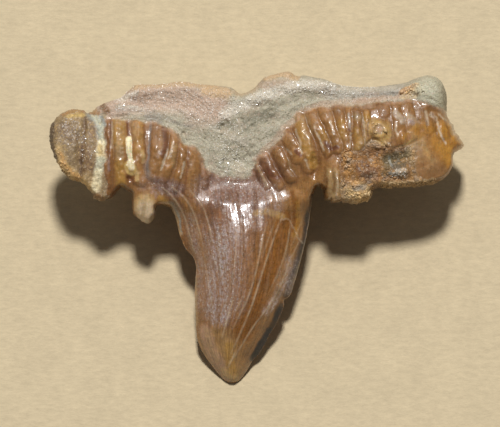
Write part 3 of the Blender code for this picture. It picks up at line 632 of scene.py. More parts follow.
# %% Height of the face
EDGE_FADE = 0.14  # over which the relief grows to its full strength
EDGE_SHARE = 0.38  # and its strength at the very edge
FOLD_LOSS = 0.7  # share of a pleat that is gone where it is broken
GRAIN_SIZE = 0.30
GRAIN_SEED = 4.0
ROOT_GRAIN = 0.020
ENAMEL_GRAIN = 0.006
BREAK_GRAIN = 0.020
GRANULE_SIZE = 0.11
GRANULE_SEED = 12.0
GRANULE_HEIGHT = 0.009
CALM_LEFT = 0.15  # share of the grain that the left end has
CALM_FROM = (-3.0, 0.2)  # u where the calm starts, and over how far
STRIP = ((-3.46, 1.60), (-3.32, 1.30), (-3.30, 0.90), (-3.35, 0.50), (-3.40, 0.15), (-3.46, -0.20))
STRIP_REACH = 0.16
STRIP_BLOCKS = (0.13, 0.035, 37.0)  # size, height and seed of the blocks in the pale strip
SINEWS = (0.06, 0.45)  # spacing and length of the root's fine ridges, which follow the crown line
CROWN_LENGTH = 11.0  # millimetres along that line
SINEW_HEIGHT = 0.015
SINEW_SEED = 29.0


def sinews(points):
    """Fine ridges of the root, parallel to the crown line."""
    line = curve_through(CROWN_LINE, BORDER_STEP)
    distance, along, _ = line_distance(points, line)
    spacing, length = SINEWS
    stretched_out = np.stack((distance * length / spacing, along * CROWN_LENGTH), axis=1)
    return lumps(stretched_out, length, SINEW_SEED)


def face_level(points, edge_distance):
    """Height of the face that shows."""
    crown = crown_side(points)
    enamel = ramp(crown / BODY_STEP + 0.5)
    rim = rim_level(points)
    level = rim + (body_level(points, enamel) - rim) * rounding(points, edge_distance, front_radius(points))
    bare = broken(points)
    relief = FOLD_HEIGHT * folded(points)[0] * fold_presence(points, crown) * (1.0 - FOLD_LOSS * bare)
    relief += form_relief(points) - LEDGE_DROP * under_ledge(points)
    relief += RIB_HEIGHT * ribs(points) + FLUTE_HEIGHT * flutes(points)
    start, length = CALM_FROM
    rough = bare * (1.0 - (1.0 - CALM_LEFT) * ramp((start - points[:, 0]) / length))
    grain = ROOT_GRAIN + (ENAMEL_GRAIN - ROOT_GRAIN) * enamel + BREAK_GRAIN * rough
    relief += grain * lumps(points, GRAIN_SIZE, GRAIN_SEED, 5)
    relief += SINEW_HEIGHT * (1.0 - enamel) * sinews(points)
    relief += GRANULE_HEIGHT * rough * granules(points, GRANULE_SIZE, GRANULE_SEED)
    size, height, seed = STRIP_BLOCKS
    strip = bell(line_distance(points, curve_through(STRIP, FOLD_STEP))[0], STRIP_REACH)
    relief += height * strip * granules(points, size, seed)
    return level + relief * (EDGE_SHARE + (1.0 - EDGE_SHARE) * ramp(edge_distance / EDGE_FADE))


# %% [markdown]
# ## The hidden back
#
# Behind the face the root swells into a lump with two lobes and a groove between them, where a vessel
# once fed the tooth. The cusp's back is a plain round swell. The same outline carries both sheets, so
# they close without a seam.

# %% Depth of the back
CUSP_DEPTH = (
    (-5.0, 0.06), (-4.70, 0.16), (-4.31, 0.28), (-3.59, 0.46), (-2.87, 0.60), (-1.56, 0.82),
    (-0.60, 1.05), (0.30, 1.30),
)
ARM_DEPTH = (
    (-4.7, 0.62), (-3.6, 0.85), (-2.2, 1.10), (0.0, 1.30), (2.2, 1.10), (4.0, 0.85), (5.4, 0.50),
)
SWELLING = 1.18  # how far the root swells behind the face
SWELLING_CENTRE = (0.25, 1.30)
SWELLING_REACH = (2.10, 0.95)
SWELLING_EDGE = 0.8  # over which it rises from the outline
LOBES = ((-1.25, 1.45), (1.45, 1.50))
LOBE = (1.1, 0.22)  # reach, and rise as a share of the swelling
NUTRIENT_GROOVE = ((0.20, 2.30), (0.22, 1.55), (0.18, 0.75))
GROOVE = (0.28, 0.22)  # reach and depth
BACK_PITS = (
    (-2.35, 1.25), (-1.35, 0.62), (0.95, 0.70), (2.25, 1.35), (3.40, 1.30), (0.20, 1.00), (-0.55, 1.05),
    (-3.20, 0.95), (1.70, 0.95), (0.62, 1.42),
)
BACK_PIT = (0.14, 0.13)
BACK_GRAIN = 0.060
BACK_LUMPS = (0.45, 9.0)  # size and seed
BACK_RIBS = (0.36, 0.025, -0.55, 0.75)  # spacing, height, v of their middle, and reach
BACK_CROWN = (
    (-4.8, 0.55), (-3.0, 0.15), (-1.6, -0.10), (0.2, -0.28), (2.0, -0.10), (3.4, 0.20), (5.5, 0.6),
)


def back_side(points):
    """Signed distance below the back's crown line: above zero on its enamel."""
    return profile(BACK_CROWN, points[:, 0]) - points[:, 1]


def back_depth(points, edge_distance):
    """Depth of the hidden back below the rim's level."""
    u, v = points.T
    depth = profile(ARM_DEPTH, u)
    depth = depth + (profile(CUSP_DEPTH, v) - depth) * cusp_share(points)
    depth = depth * rounding(points, edge_distance, BACK_RADIUS)
    across = (u - SWELLING_CENTRE[0]) / SWELLING_REACH[0]
    along = (v - SWELLING_CENTRE[1]) / SWELLING_REACH[1]
    mound = SWELLING * np.exp(-0.5 * (across**4 + along**2))
    reach, rise = LOBE
    for lobe in LOBES:
        mound += SWELLING * rise * bell(np.hypot(*(points - lobe).T), reach)
    reach, depth_there = GROOVE
    groove, _, _ = line_distance(points, curve_through(NUTRIENT_GROOVE, FOLD_STEP))
    mound -= depth_there * bell(groove, reach)
    reach, depth_there = BACK_PIT
    for pit in BACK_PITS:
        mound -= depth_there * bell(np.hypot(*(points - pit).T), reach)
    spacing, height, place, reach = BACK_RIBS
    back_ribs = height * np.cos(2.0 * math.pi * u / spacing) * bell(v - place, reach)
    grain = BACK_GRAIN + (ENAMEL_GRAIN - BACK_GRAIN) * cusp_share(points)
    relief = back_ribs + grain * lumps(points, *BACK_LUMPS, 5)
    inside = ramp(edge_distance / SWELLING_EDGE)
    return depth + mound * inside + relief * ramp(2 * inside)


# %% [markdown]
# ## From points to a closed mesh
#
# The face is filled with an even triangular spread of points, finer in front than behind, with a few
# rings close to the outline so that the edge turns over roundly. Solids joined and remeshed would close
# too, but their grid would blur the grooves. A Delaunay triangulation joins the points in the flat,
# where it can't go wrong, and only then are they lifted to their heights.

# %% Spread the points
RIM_RINGS = (0.007, 0.022, 0.045)  # how far inside the outline each ring lies
RING_ROOM = 0.8  # least share of that distance that a ring's point keeps from the outline
FRONT_STEP = 0.0245
BACK_STEP = 0.062
ROOM = 0.62  # of a step, left free between the rings and the spread
WELD = 1e-7  # points nearer than this count as one


def rim_points(edge):
    """Rings just inside the outline, to round it."""
    rings = []
    for inset in RIM_RINGS:
        ring = edge - inset * outward(edge)
        distance, _, side = line_distance(ring, edge, closed=True)
        rings.append(ring[(side < 0) & (distance > RING_ROOM * inset)])
    return np.vstack(rings)


def spread_points(edge, step):
    """An even triangular spread inside the outline's rings."""
    first, last = edge.min(axis=0), edge.max(axis=0)
    rows = np.arange(first[1], last[1], step * math.sqrt(0.75))
    spread = []
    for i, v in enumerate(rows):
        across = np.arange(first[0] + (i % 2) * step / 2, last[0], step)
        spread.append(np.stack((across, np.full(len(across), v)), axis=1))
    spread = np.vstack(spread)
    distance, _, side = line_distance(spread, edge, closed=True)
    return spread[(side < 0) & (distance > RIM_RINGS[-1] + ROOM * step)]


def triangulate(edge, inner):
    """Triangles over the face; the outline's points come first in the numbering."""
    flat = [Vector(p) for p in np.vstack((edge, inner))]
    points, _, faces, _, _, _ = delaunay_2d_cdt(flat, [], [list(range(len(edge)))], 1, WELD)
    corners = np.array([tuple(p) for p in points])
    faces = np.array(faces)
    a, b, c = (corners[faces[:, i]] for i in range(3))
    turn = (b[:, 0] - a[:, 0]) * (c[:, 1] - a[:, 1]) - (b[:, 1] - a[:, 1]) * (c[:, 0] - a[:, 0])
    faces[turn < 0] = faces[turn < 0][:, ::-1]
    return faces, len(points) == len(flat)


rim = rim_points(edge)
front = np.vstack((rim, spread_points(edge, FRONT_STEP)))
back = np.vstack((rim, spread_points(edge, BACK_STEP)))
front_faces, front_kept = triangulate(edge, front)
back_faces, back_kept = triangulate(edge, back)
print(len(front_faces), "triangles in front,", len(back_faces), "behind")
print("numbering kept:", front_kept, back_kept)

# %% [markdown]
# ## Lift, lean and set down
#
# Heights turn the flat triangles into a tooth. Then the whole thing leans back and is set on the
# ground, where its tip and the lobes of its root are worn flat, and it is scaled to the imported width.

# %% Build the body
TIP_PRESS = 0.06  # how deep the cusp's tip is worn flat
TIP_FROM = -3.8  # v below which the tooth counts as the tip


def linked(name, data):
    """A new object in the scene."""
    made = bpy.data.objects.new(name, data)
    bpy.context.scene.collection.objects.link(made)
    return made


front_gap = line_distance(front, edge, closed=True)[0]
back_gap = line_distance(back, edge, closed=True)[0]
edge_xyz = leaned(edge, rim_level(edge))
front_xyz = leaned(front, face_level(front, front_gap))
back_xyz = leaned(back, rim_level(back) - back_depth(back, back_gap))
ground = back_xyz[back[:, 1] < TIP_FROM, 2].min() + TIP_PRESS

positions = np.vstack((edge_xyz, front_xyz, back_xyz))
first, last = positions.min(axis=0), positions.max(axis=0)
middle = (first + last) / 2
scale = (high.x - low.x) / MM / (last[0] - first[0])


def placed(xyz):
    """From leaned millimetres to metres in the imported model's frame."""
    moved = (xyz - np.array((middle[0], middle[1], ground))) * scale
    moved[:, 2] = np.maximum(moved[:, 2], 0.0)
    return moved


count = len(edge)
shifted = np.where(back_faces < count, back_faces, back_faces + len(front))
faces = np.vstack((front_faces, shifted[:, ::-1]))
mesh = bpy.data.meshes.new("tooth_body")
mesh.from_pydata(placed(positions) * MM, [], faces.tolist())
mesh.update()
mesh.shade_smooth()
tooth = linked("tooth_body", mesh)
print(len(mesh.polygons), "triangles; width scaled by", round(scale, 4))

# %% [markdown]
# ## Grain in three dimensions
#
# A height field can only move the surface in one direction, so on the steep flanks of the root its
# relief would smear into streaks. The finest grain is therefore pushed along the surface's own
# normals, with noise that is read in space. Enamel gets almost none, the root a porous skin, and the
# broken ends the coarsest.

# %% Push the grain along the normals
FINE_SIZES = ((0.40, 0.60), (0.16, 0.55), (0.06, 0.30))  # lump size in mm, share of the amount
FINE_ENAMEL = 0.0025
FINE_ROOT = 0.016
FINE_BACK = 0.100  # the root's back is the roughest
FINE_BREAK = 0.012
FINE_BREAK_LEFT = 0.006
FINE_SEED = 50.0
BACK_BREAK = (-3.5, 0.3)  # u where the back's broken left end starts, and over how far
BACK_CROWN_STEP = 0.2  # over which the back's material changes
BACK_ROUGH_EDGE = 0.3  # from the outline, where the back's roughness grows

face_points = np.vstack((edge, front))
front_crown = crown_side(face_points)
front_bare = broken(face_points)
back_crown = back_side(back)
back_bare = ramp((BACK_BREAK[0] - back[:, 0]) / BACK_BREAK[1])
front_share = ramp(front_crown / CROWN_STEP + 0.5)
back_share = ramp(back_crown / BACK_CROWN_STEP + 0.5)
enamel_share = np.concatenate((front_share, back_share))
bare_share = np.concatenate((front_bare, back_bare))
amount = FINE_ROOT + (FINE_ENAMEL - FINE_ROOT) * enamel_share
rougher = (FINE_BACK - FINE_ROOT) * (1.0 - back_share) * ramp(back_gap / BACK_ROUGH_EDGE)
amount[len(face_points):] += rougher
fine_break = np.where(positions[:, 0] < 0.0, FINE_BREAK_LEFT, FINE_BREAK)
amount = amount + (fine_break - amount) * bare_share


def space_noise(xyz, size, seed):
    """Noise in space, about -1 to 1, its lumps about the given size in millimetres."""
    return np.array([noise.noise((x / size + seed, y / size, z / size)) for x, y, z in xyz])


normals = np.zeros(len(mesh.vertices) * 3)
mesh.vertex_normals.foreach_get("vector", normals)
here = placed(positions)
push = sum(share * space_noise(here, size, FINE_SEED) for size, share in FINE_SIZES)
here = here + (amount * push)[:, None] * normals.reshape(-1, 3)
here[:, 2] = np.maximum(here[:, 2], 0.0)
mesh.vertices.foreach_set("co", (here * MM).ravel())
mesh.update()
print("grain of up to", round(float(np.abs(amount * push).max()), 3), "mm")

# %% [markdown]
# ## A palette of stone
#
# Minerals from the ground have stained the tooth. A painted image could hold the stains, but strokes
# that are written down can be moved and mixed again one at a time. The palette is named after what each
# stain looks like. A stain is a brush stroke: a colour, a strength, half a width, and a path over the
# face. The strokes go on in order, broad ones first, and a little noise shakes the brush so that no
# edge is perfectly soft.

# %% Colours
CHESTNUT = (0.31, 0.150, 0.045)
AMBER = (0.41, 0.22, 0.045)
HONEY = (0.48, 0.24, 0.040)
UMBER = (0.14, 0.06, 0.025)
RUSSET = (0.18, 0.08, 0.040)
# the next colour darkens grooves, pockets and gaps: painted shade with some dirt
MAHOGANY_SHADE = (0.15, 0.050, 0.019)
SIENNA = (0.245, 0.092, 0.013)
WALNUT = (0.25, 0.110, 0.036)
LILAC = (0.31, 0.21, 0.181)
SAND = (0.33, 0.19, 0.076)
# dark slate, also painted shade along the cusp's cutting edge
SLATE_AND_SHADE = (0.08, 0.05, 0.032)
SYRUP = (0.19, 0.08, 0.019)
OLIVE = (0.29, 0.22, 0.122)
GOLD = (0.60, 0.41, 0.144)
SEAM = (0.27, 0.24, 0.202)
HORN = (0.41, 0.27, 0.122)
# the next colour serves pale marks and painted highlights
PALE_AND_HIGHLIGHT = (0.62, 0.49, 0.342)
GINGER = (0.45, 0.23, 0.068)
BUFF = (0.58, 0.39, 0.168)
BARK = (0.11, 0.06, 0.034)
# painted shade in the hollow
HOLLOW_SHADE = (0.12, 0.09, 0.040)
# bluish grey, also a painted highlight on the cusp's left edge
STEEL_AND_SHEEN = (0.26, 0.27, 0.238)
ROSE = (0.55, 0.39, 0.287)
PEACH = (0.63, 0.42, 0.223)
STONE = (0.45, 0.41, 0.296)
MOSS = (0.27, 0.25, 0.175)
# chalky stone, also painted highlights on ridges and broken facets
CHALK_AND_HIGHLIGHT = (0.67, 0.60, 0.479)
ASH = (0.43, 0.39, 0.314)
PATINA = (0.54, 0.52, 0.370)
RUSTY = (0.50, 0.32, 0.209)
BONE = (0.33, 0.235, 0.135)
OCHRE = (0.47, 0.29, 0.10)
CLEAR_AMBER = (0.46, 0.215, 0.032)
LOAM = (0.25, 0.165, 0.080)
# the next two colours are painted shade along the cusp's cutting edge
EDGE_SHADE = (0.026, 0.023, 0.018)
DEEPER_EDGE_SHADE = (0.010, 0.013, 0.019)
CREAM = (0.86, 0.74, 0.47)
BLUSH = (0.42, 0.25, 0.155)

# %% [markdown]
# ### Stains of the cusp
#
# The cusp is dark brown under the root, orange down its right half and horny at the worn tip. A dark
# band along its right cutting edge is painted shade: the shadow behind, seen through the thin enamel.

# %% Cusp
CUSP_STAINS = (
    (RUSSET, 0.9, 1.05, (-0.10, -0.05), (-0.14, -0.81)),  # dark top under the root
    (WALNUT, 0.8, 0.96, (-0.19, -1.58), (-0.24, -2.87)),
    # its orange-brown right half
    (SIENNA, 0.9, 0.31, (1.10, -1.00), (0.89, -1.58), (0.67, -2.30), (0.38, -3.01), (0.14, -3.59)),
    (SIENNA, 0.6, 0.14, (-0.43, -3.30), (-0.53, -3.83)),
    (WALNUT, 0.8, 0.19, (-1.44, -0.77), (-1.20, -1.63), (-0.96, -2.63), (-0.89, -3.59)),
    (HORN, 0.45, 0.48, (-0.57, -3.92), (-0.33, -4.55)),  # worn tip
    (BLUSH, 0.8, 0.17, (-0.85, -3.60), (-0.79, -3.83), (-0.62, -4.26), (-0.33, -4.74)),
    (BUFF, 0.6, 0.13, (-0.36, -4.62), (-0.12, -4.78)),
    # its cutting edge, where painted shade stands for the shadow seen through the thin enamel
    (SLATE_AND_SHADE, 0.95, 0.15, (1.66, -0.90), (1.61, -1.34), (1.48, -1.77), (1.31, -2.30), (1.17, -2.78)),
    (EDGE_SHADE, 0.70, 0.08, (1.68, -0.70), (1.62, -1.30), (1.50, -1.77), (1.36, -2.25)),
    (OLIVE, 0.35, 0.05, (1.60, -1.50), (1.42, -2.10), (1.22, -2.60)),
    # painted shade down the lower cutting edge
    (SYRUP, 0.65, 0.24, (0.96, -3.00), (0.76, -3.48), (0.54, -3.88), (0.30, -4.26)),
    (EDGE_SHADE, 0.80, 0.14, (1.00, -3.06), (0.83, -3.48), (0.62, -3.88), (0.38, -4.26)),
    (DEEPER_EDGE_SHADE, 0.85, 0.10, (0.70, -3.62), (0.52, -3.95), (0.30, -4.30)),
    (DEEPER_EDGE_SHADE, 0.70, 0.06, (0.96, -3.10), (0.84, -3.34)),
    # painted highlight down the top of the cusp's left edge
    (STEEL_AND_SHEEN, 0.8, 0.034, (-1.63, -0.55), (-1.48, -0.84), (-1.45, -1.08), (-1.41, -1.32)),
    (HORN, 0.4, 0.08, (-0.80, -3.62), (-0.70, -4.05), (-0.55, -4.35)),
    (AMBER, 0.6, 0.14, (-0.25, -4.00), (-0.20, -4.60)),
    (SIENNA, 0.8, 0.10, (1.25, -0.30), (1.36, -0.75), (1.30, -1.20)),
    (HONEY, 0.45, 0.07, (1.38, -0.55), (1.40, -0.95), (1.30, -1.35)),
    (SLATE_AND_SHADE, 0.8, 0.060, (1.73, -0.38), (1.71, -0.84), (1.64, -1.32)),
    # painted highlight along the cusp's left edge
    (HORN, 0.6, 0.053, (-1.60, -0.79), (-1.46, -1.24), (-1.20, -1.91), (-1.08, -2.63), (-1.05, -3.47)),
    (SYRUP, 0.9, 0.13, (-1.39, -1.44), (-1.27, -1.67), (-1.15, -1.87)),  # dark chip
    (OCHRE, 0.55, 0.10, (0.38, -0.80), (0.67, -0.74), (1.02, -0.88)),
    (PALE_AND_HIGHLIGHT, 0.35, 0.018, (0.98, -0.96), (1.20, -0.98), (1.36, -1.34), (1.51, -1.51)),  # hair crack
)

# %% [markdown]
# ### Stains of the heels
#
# Every pleat has its own tone of amber. Dark strokes in the grooves are painted shade with some dirt,
# and thin pale ones down the crests are painted highlights.

# %% Left heel
LEFT_STAINS = (
    (WALNUT, 0.7, 0.10, (-3.16, 1.44), (-3.16, 0.72), (-3.18, -0.19)),
    (UMBER, 0.7, 0.029, (-3.11, 1.39), (-3.11, 1.00), (-3.13, 0.48)),
    # painted highlight: a pale line down the first pleat
    (PALE_AND_HIGHLIGHT, 0.6, 0.026, (-3.06, 1.39), (-3.06, 1.05), (-3.09, 0.77)),
    (LILAC, 0.7, 0.038, (-3.16, 0.48), (-3.13, 0.24)),
    (AMBER, 0.95, 0.18, (-2.89, 1.48), (-2.89, 0.91)),  # broad amber lobe
    (HORN, 0.6, 0.12, (-2.92, 0.81), (-2.89, 0.48)),
    (AMBER, 0.8, 0.14, (-2.89, 0.43), (-2.85, -0.14)),
    (MAHOGANY_SHADE, 0.8, 0.038, (-2.70, 1.44), (-2.68, 1.00)),
    (HORN, 0.5, 0.072, (-2.58, 1.34), (-2.56, 1.00)),
    (AMBER, 0.45, 0.11, (-2.42, 1.39), (-2.42, 0.72)),
    (BUFF, 0.8, 0.057, (-2.34, 0.67), (-2.32, 0.45)),
    (MAHOGANY_SHADE, 0.7, 0.07, (-2.68, 0.10), (-2.60, 0.00)),  # pocket under the chip, its darkness painted shade
    (HORN, 0.7, 0.057, (-2.46, 0.19), (-2.46, 0.00)),
    (UMBER, 0.8, 0.043, (-2.54, -0.07), (-2.37, -0.10)),
    (SEAM, 0.85, 0.036, (-2.15, 1.41), (-2.18, 0.96), (-2.20, 0.48), (-2.22, 0.00)),  # mineral seam
    (SEAM, 0.4, 0.10, (-2.25, 0.33), (-2.20, 0.00)),
    (MAHOGANY_SHADE, 0.75, 0.072, (-1.84, 1.27), (-1.77, 0.96), (-1.84, 0.57)),
    # painted highlights on the pleats' flanks
    (PALE_AND_HIGHLIGHT, 0.8, 0.031, (-1.60, 0.93), (-1.67, 0.69), (-1.72, 0.55)),
    (PALE_AND_HIGHLIGHT, 0.8, 0.026, (-1.75, 0.74), (-1.82, 0.45), (-1.89, 0.24)),
    (HORN, 0.5, 0.072, (-1.56, 0.81), (-1.60, 0.33)),
    # a painted highlight
    (PALE_AND_HIGHLIGHT, 0.85, 0.029, (-1.34, 0.43), (-1.39, 0.22), (-1.41, 0.07)),
    (CHESTNUT, 0.7, 0.19, (-1.05, 0.72), (-1.12, 0.00)),
    (MAHOGANY_SHADE, 0.5, 0.038, (-1.24, 0.72), (-1.27, 0.19), (-1.36, -0.24)),
    (RUSSET, 0.8, 0.19, (-2.25, -0.14), (-1.87, -0.10), (-1.44, -0.24)),
    (UMBER, 0.7, 0.16, (-1.78, -0.20), (-1.62, -0.40), (-1.50, -0.62)),
    (CHESTNUT, 0.9, 0.29, (-2.30, -0.15), (-2.27, -0.45)),  # amber stub
    # painted light: the stub's end is made pale as if lit, and a pale line along its lower rim is a painted
    # highlight
    (BUFF, 0.95, 0.30, (-2.28, -0.62), (-2.22, -0.95)),
    (PALE_AND_HIGHLIGHT, 0.7, 0.26, (-2.26, -0.70), (-2.22, -1.00)),
    (HORN, 0.5, 0.05, (-2.22, -0.35), (-2.34, -0.80)),
    (PALE_AND_HIGHLIGHT, 0.6, 0.05, (-2.05, -0.75), (-2.20, -0.98), (-2.36, -0.92)),
    (LILAC, 0.5, 0.043, (-2.03, -0.29), (-2.01, -0.41)),
    (SYRUP, 0.8, 0.12, (-3.40, -0.43), (-3.16, -0.38), (-2.92, -0.22)),
    (AMBER, 0.7, 0.10, (-1.89, -0.45), (-1.75, -0.62)),
)

# %% Right heel
RIGHT_STAINS = (
    (HORN, 0.75, 0.20, (2.20, 0.15), (2.25, -0.45)),  # pale horny stub
    (SYRUP, 0.7, 0.045, (2.04, 0.30), (2.06, -0.20)),
    (SYRUP, 0.6, 0.035, (2.23, 0.35), (2.24, -0.30)),
    (PALE_AND_HIGHLIGHT, 0.5, 0.035, (2.33, 0.15), (2.33, -0.40)),
    (RUSSET, 0.55, 0.29, (0.53, 0.33), (0.96, 0.19)),
    (HORN, 0.6, 0.043, (0.38, 0.43), (0.50, 0.19), (0.65, -0.14)),
    # painted shade in the groove round a pleat's end
    (MAHOGANY_SHADE, 0.85, 0.048, (0.65, 0.29), (0.79, 0.07), (0.98, 0.10)),
    (HORN, 0.5, 0.043, (1.15, 0.53), (1.24, 0.19)),
    (MAHOGANY_SHADE, 0.9, 0.062, (1.34, 0.69), (1.46, 0.60)),
    (UMBER, 0.6, 0.033, (1.12, 1.17), (1.24, 1.12), (1.34, 1.03)),
    # painted highlights on the pleats
    (PALE_AND_HIGHLIGHT, 0.8, 0.031, (1.34, 1.22), (1.44, 0.89), (1.51, 0.65)),
    (PALE_AND_HIGHLIGHT, 0.6, 0.029, (1.12, 0.74), (1.24, 0.62)),
    (PALE_AND_HIGHLIGHT, 0.6, 0.029, (1.56, 0.48), (1.65, 0.29)),
    (AMBER, 0.75, 0.14, (1.41, 1.53), (1.48, 1.20), (1.63, 0.77), (1.77, 0.38)),
    (HORN, 0.5, 0.062, (1.56, 1.58), (1.65, 1.34), (1.70, 1.10)),
    # a painted highlight down a pleat
    (PALE_AND_HIGHLIGHT, 0.8, 0.029, (1.77, 1.29), (1.89, 1.00), (2.01, 0.72)),
    (AMBER, 0.6, 0.10, (1.96, 1.15), (2.06, 0.91)),
    # painted shade under the pleats' ends
    (MAHOGANY_SHADE, 0.9, 0.067, (2.03, 0.89), (2.18, 0.74), (2.32, 0.79)),
    # a painted highlight
    (PALE_AND_HIGHLIGHT, 0.7, 0.026, (2.18, 1.39), (2.25, 1.12)),
    (AMBER, 0.6, 0.10, (2.42, 1.39), (2.46, 1.05)),
    (SEAM, 0.7, 0.048, (2.61, 1.58), (2.61, 1.20)),
    (MAHOGANY_SHADE, 0.8, 0.029, (2.58, 1.22), (2.63, 1.15)),
    # a painted highlight
    (PALE_AND_HIGHLIGHT, 0.8, 0.029, (2.63, 1.12), (2.63, 0.77)),
    (HORN, 0.6, 0.11, (2.78, 1.53), (2.92, 1.48)),
    (AMBER, 0.5, 0.11, (2.78, 1.20), (2.82, 0.72)),
    # a painted highlight down a pleat
    (PALE_AND_HIGHLIGHT, 0.85, 0.031, (2.95, 1.46), (2.99, 1.08), (3.01, 0.69)),
    (AMBER, 0.8, 0.10, (3.04, 1.58), (3.09, 1.34)),
    (BUFF, 0.7, 0.072, (3.18, 0.77), (3.33, 0.72)),
    (BARK, 0.6, 0.03, (3.33, 0.79), (3.49, 0.84), (3.64, 0.91)),
    (OCHRE, 1.0, 0.27, (3.22, 1.26), (3.44, 1.14)),  # ochre block with the ring
    (OCHRE, 0.9, 0.13, (3.18, 0.88), (3.42, 0.82)),
    (UMBER, 0.6, 0.024, (3.08, 1.46), (3.06, 1.20), (3.08, 0.95)),
    (UMBER, 0.5, 0.024, (3.62, 1.44), (3.66, 1.20), (3.60, 0.98)),
    (OCHRE, 0.5, 0.16, (2.95, 0.95), (2.80, 0.65)),
    (GOLD, 0.8, 0.036, (3.80, 0.77), (3.95, 0.86), (4.16, 0.96)),  # bright rim of the ledge
    # painted glints on the broken facets, down to the lilac spot
    (CHALK_AND_HIGHLIGHT, 0.45, 0.10, (3.73, 1.60), (3.90, 1.42)),
    (PALE_AND_HIGHLIGHT, 0.5, 0.12, (4.05, 1.52), (4.20, 1.38)),
    (PALE_AND_HIGHLIGHT, 0.7, 0.031, (3.73, 1.34), (3.78, 1.05)),
    (LILAC, 0.7, 0.062, (4.07, 1.41), (4.14, 1.36)),
    (HORN, 0.6, 0.057, (4.16, 1.10), (4.21, 1.00)),
    (HONEY, 0.6, 0.048, (3.90, 1.00), (4.07, 1.17), (4.23, 1.32)),
    (CLEAR_AMBER, 0.8, 0.31, (4.40, 1.15), (4.55, 0.81)),
    (CLEAR_AMBER, 0.95, 0.33, (4.88, 1.15), (5.02, 0.81), (5.14, 0.53)),  # clear amber end
    (CLEAR_AMBER, 0.7, 0.14, (5.14, 1.05), (5.31, 0.86)),
    (HORN, 0.5, 0.25, (4.26, 0.85), (4.55, 0.40)),
    (WALNUT, 0.4, 0.16, (4.26, 0.67), (4.40, 0.43)),
    (SAND, 0.6, 0.17, (4.40, 0.19), (4.83, 0.19)),
    # painted glints and highlight lines on the amber end
    (PALE_AND_HIGHLIGHT, 0.7, 0.048, (4.47, 1.63), (4.50, 1.34)),
    (PALE_AND_HIGHLIGHT, 0.6, 0.062, (4.59, 1.58), (4.69, 1.46)),
    (PALE_AND_HIGHLIGHT, 0.6, 0.038, (4.78, 1.58), (4.95, 1.44)),
    (PALE_AND_HIGHLIGHT, 0.6, 0.038, (5.10, 1.36), (5.17, 1.12)),
    (PALE_AND_HIGHLIGHT, 0.85, 0.031, (4.74, 1.39), (4.83, 1.10), (4.95, 0.89)),
    (SLATE_AND_SHADE, 0.6, 0.038, (5.16, 0.67), (5.16, 0.41)),
    (WALNUT, 0.40, 0.11, (4.50, 1.02), (4.66, 0.60)),
    (WALNUT, 0.45, 0.22, (4.35, 0.25), (4.85, 0.18)),
    (SYRUP, 0.55, 0.030, (4.42, 1.68), (4.52, 1.18)),
    (SYRUP, 0.55, 0.030, (4.63, 1.60), (4.74, 1.10)),
    (SYRUP, 0.45, 0.028, (4.92, 1.45), (5.05, 1.05)),
)

ENAMEL_STAINS = CUSP_STAINS + LEFT_STAINS + RIGHT_STAINS
print(len(ENAMEL_STAINS), "strokes on the enamel")

# %% [markdown]
# ### Stains of the broken ends and the root
#
# The left end is loamy brown with an ochre rim and a pale mineral strip. The right one is rusty round a
# hollow that is darkened with painted shade. The root is pink in its concave facet, grey-green in its V,
# and chalky on its ridge, where part of the chalk is a painted highlight.

